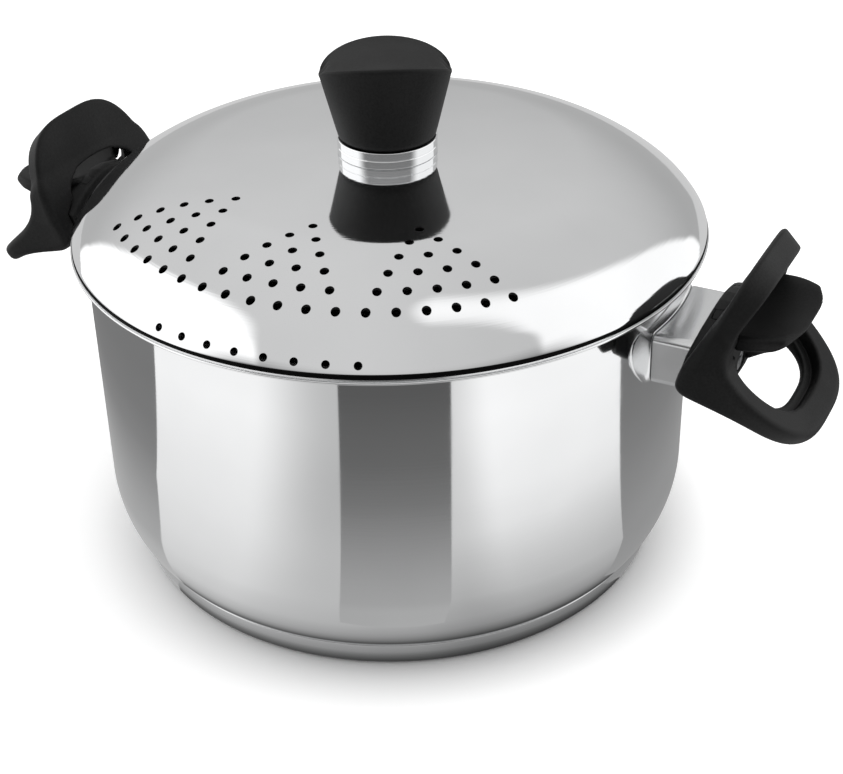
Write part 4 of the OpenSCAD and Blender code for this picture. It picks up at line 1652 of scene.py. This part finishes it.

# %% How light the table looks
# The camera's glow fades out close to the pot and is weaker on the left: painted shadow around the foot.
LIFT = [(0.1, 0.0), (0.108, 0.03), (0.118, 0.2), (0.134, 0.45), (0.15, 0.57), (0.2, 0.62)]
# Levels of the glow that reflections see: a painted reflection, dark near the pot as painted shade.
PAINTED_REFLECTION_LEFT = [(0.1, 0.06), (0.11, 0.12), (0.113, 0.33), (0.118, 0.52), (0.13, 0.68), (0.165, 0.79),
             (0.2, 0.9), (0.25, 1.0), (0.3, 1.08)]
PAINTED_REFLECTION_RIGHT = [(0.1, 0.03), (0.11, 0.06), (0.113, 0.16), (0.12, 0.33), (0.132, 0.44), (0.166, 0.57),
              (0.19, 0.73), (0.212, 0.9), (0.24, 1.0), (0.3, 1.1)]
away, spot = away_from_middle(cloth)
painted_shadow_side = smooth_step(cloth, spot["X"], -0.15, 0.15, 0.86, 1.1)
lifted = math_of(cloth, "MULTIPLY", curve_of(cloth, away, LIFT), painted_shadow_side)
on_left = curve_of(cloth, away, PAINTED_REFLECTION_LEFT)
on_right = curve_of(cloth, away, PAINTED_REFLECTION_RIGHT)
room = blend_of(cloth, smooth_step(cloth, spot["X"], -0.05, 0.05), on_left, on_right)
# These darken the painted reflection in front of the pot, fading to the sides, and behind it.
before = math_of(cloth, "MAXIMUM", math_of(cloth, "MULTIPLY", spot["Y"], -1.0), 0.05)
aside = math_of(cloth, "DIVIDE", spot["X"], before)
weak = smooth_step(cloth, away, 0.12, 0.27, 0.45, 1.0)
soft_left = smooth_step(cloth, aside, -0.95, -0.3, 0.0, -0.46)
soft_right = smooth_step(cloth, aside, 0.25, 0.55, -0.3, 0.0)
soft_edge = blend_of(cloth, smooth_step(cloth, aside, -0.1, 0.1), soft_left, soft_right)
softer = math_of(cloth, "ADD", math_of(cloth, "MULTIPLY", soft_edge, weak), 1.0)
rear = smooth_step(cloth, spot["Y"], 0.05, 0.3, 1.0, 0.6)
mirrored = math_of(cloth, "MULTIPLY", math_of(cloth, "MULTIPLY", room, softer), rear)
print("table nodes:", len(cloth.nodes))

# %% What the camera sees of it and what reflections see
white = cloth.nodes.new("ShaderNodeBsdfDiffuse")
white.inputs["Color"].default_value = (0.93, 0.93, 0.93, 1)
lift_glow = cloth.nodes.new("ShaderNodeEmission")
cloth.links.new(lifted, lift_glow.inputs["Strength"])
# Reflections see only this glow, not the lit table: a painted reflection.
mirror_glow = cloth.nodes.new("ShaderNodeEmission")
cloth.links.new(mirrored, mirror_glow.inputs["Strength"])
for node in (lift_glow, mirror_glow):
    node.inputs["Color"].default_value = (1, 1, 1, 1)
for_camera = cloth.nodes.new("ShaderNodeAddShader")
cloth.links.new(white.outputs[0], for_camera.inputs[0])
cloth.links.new(lift_glow.outputs[0], for_camera.inputs[1])
ray = cloth.nodes.new("ShaderNodeLightPath").outputs
shiny = math_of(cloth, "MAXIMUM", ray["Is Glossy Ray"], ray["Is Transmission Ray"])
for_others = cloth.nodes.new("ShaderNodeMixShader")
cloth.links.new(shiny, for_others.inputs[0])
cloth.links.new(white.outputs[0], for_others.inputs[1])
cloth.links.new(mirror_glow.outputs[0], for_others.inputs[2])
table_look = cloth.nodes.new("ShaderNodeMixShader")
cloth.links.new(ray["Is Camera Ray"], table_look.inputs[0])
cloth.links.new(for_others.outputs[0], table_look.inputs[1])
cloth.links.new(for_camera.outputs[0], table_look.inputs[2])
table_end = cloth.nodes.new("ShaderNodeOutputMaterial")
cloth.links.new(table_look.outputs[0], table_end.inputs[0])
print("table nodes with its shaders:", len(cloth.nodes))

# %% [markdown]
# ## Dark cards, painted reflections
# Polished steel needs something dark to show, or it looks like white paper. Photographers lay black
# cards beside the object. Ours lie on the table as dim glowing sheets that only reflections see, a
# painted reflection, and get lighter near the pot, so the long bands on the wall fade to the foot.

# %% A card
def card(name, corners, levels, height=0.0015):
    mesh = bpy.data.meshes.new(name)
    mesh.from_pydata([(x, y, height) for x, y in corners], [], [tuple(range(len(corners)))])
    obj = bpy.data.objects.new(name, mesh)
    bpy.context.scene.collection.objects.link(obj)
    mat = bpy.data.materials.new(name + "_painted_reflection")
    mat.use_nodes = True
    tree = mat.node_tree
    tree.nodes.clear()
    # The card glows by its distance from the pot and is hidden from camera, diffuse light and shadows: a
    # painted reflection.
    glow = tree.nodes.new("ShaderNodeEmission")
    tree.links.new(curve_of(tree, away_from_middle(tree)[0], levels), glow.inputs["Strength"])
    tree.links.new(glow.outputs[0], tree.nodes.new("ShaderNodeOutputMaterial").inputs[0])
    dress(obj, mat)
    obj.visible_camera = False
    obj.visible_diffuse = False
    obj.visible_shadow = False
    obj.visible_transmission = False


# %% Three cards
# Glow of each card by distance from the pot: the levels of the painted reflection.
FRONT_LEVELS = [(0.15, 0.46), (0.178, 0.40), (0.206, 0.305), (0.235, 0.205), (0.266, 0.15), (0.30, 0.13),
                (0.33, 0.11)]
LEFT_LEVELS = [(0.13, 0.5), (0.156, 0.42), (0.185, 0.33), (0.21, 0.26), (0.24, 0.225), (0.28, 0.21)]
RIGHT_LEVELS = [(0.13, 0.33), (0.156, 0.32), (0.185, 0.28), (0.21, 0.245), (0.24, 0.22), (0.28, 0.2)]
FAR_X = 0.42
card("Card_front", [(-0.0315, -0.128), (-0.135, -0.43), (0.136, -0.43), (0.0205, -0.128)], FRONT_LEVELS)
card("Card_right", [(0.09, -0.0735), (FAR_X, -0.0745), (FAR_X, 0.2), (0.1, 0.2)], RIGHT_LEVELS)
card("Card_left", [(-0.1, 0.2), (-FAR_X, 0.2), (-FAR_X, -0.0435), (-0.19, -0.0445), (-0.14, -0.058),
                   (-0.09, -0.06)], LEFT_LEVELS)

# %% [markdown]
# ## The camera
# The photograph was taken from about three quarters of a metre away, looking down by a third of a right
# angle. The lens is long, so the pot shows little perspective.

# %% Camera
from mathutils import Matrix

PHOTO_WIDTH_PX = 843
FOCAL_PX = 1696.8
SENSOR = 36.0
CAM_RIGHT = (0.999381, -0.029735, -0.018812)
CAM_UP = (0.031589, 0.522765, 0.851892)
CAM_BACK = (-0.015496, -0.851959, 0.523380)
CAM_PLACE = (0.0, -0.6135, 0.4359)
cam_data = bpy.data.cameras.new("photo_camera")
cam_data.sensor_width = SENSOR
cam_data.sensor_fit = "HORIZONTAL"
cam_data.lens = SENSOR * FOCAL_PX / PHOTO_WIDTH_PX
cam_data.clip_start = 0.01
cam = bpy.data.objects.new("photo_camera", cam_data)
bpy.context.scene.collection.objects.link(cam)
rows = [[CAM_RIGHT[i], CAM_UP[i], CAM_BACK[i], CAM_PLACE[i]] for i in range(3)]
cam.matrix_world = Matrix(rows + [[0, 0, 0, 1]])
bpy.context.scene.camera = cam
bpy.context.scene.view_settings.view_transform = "Standard"
print("lens", round(cam_data.lens, 2), "mm")
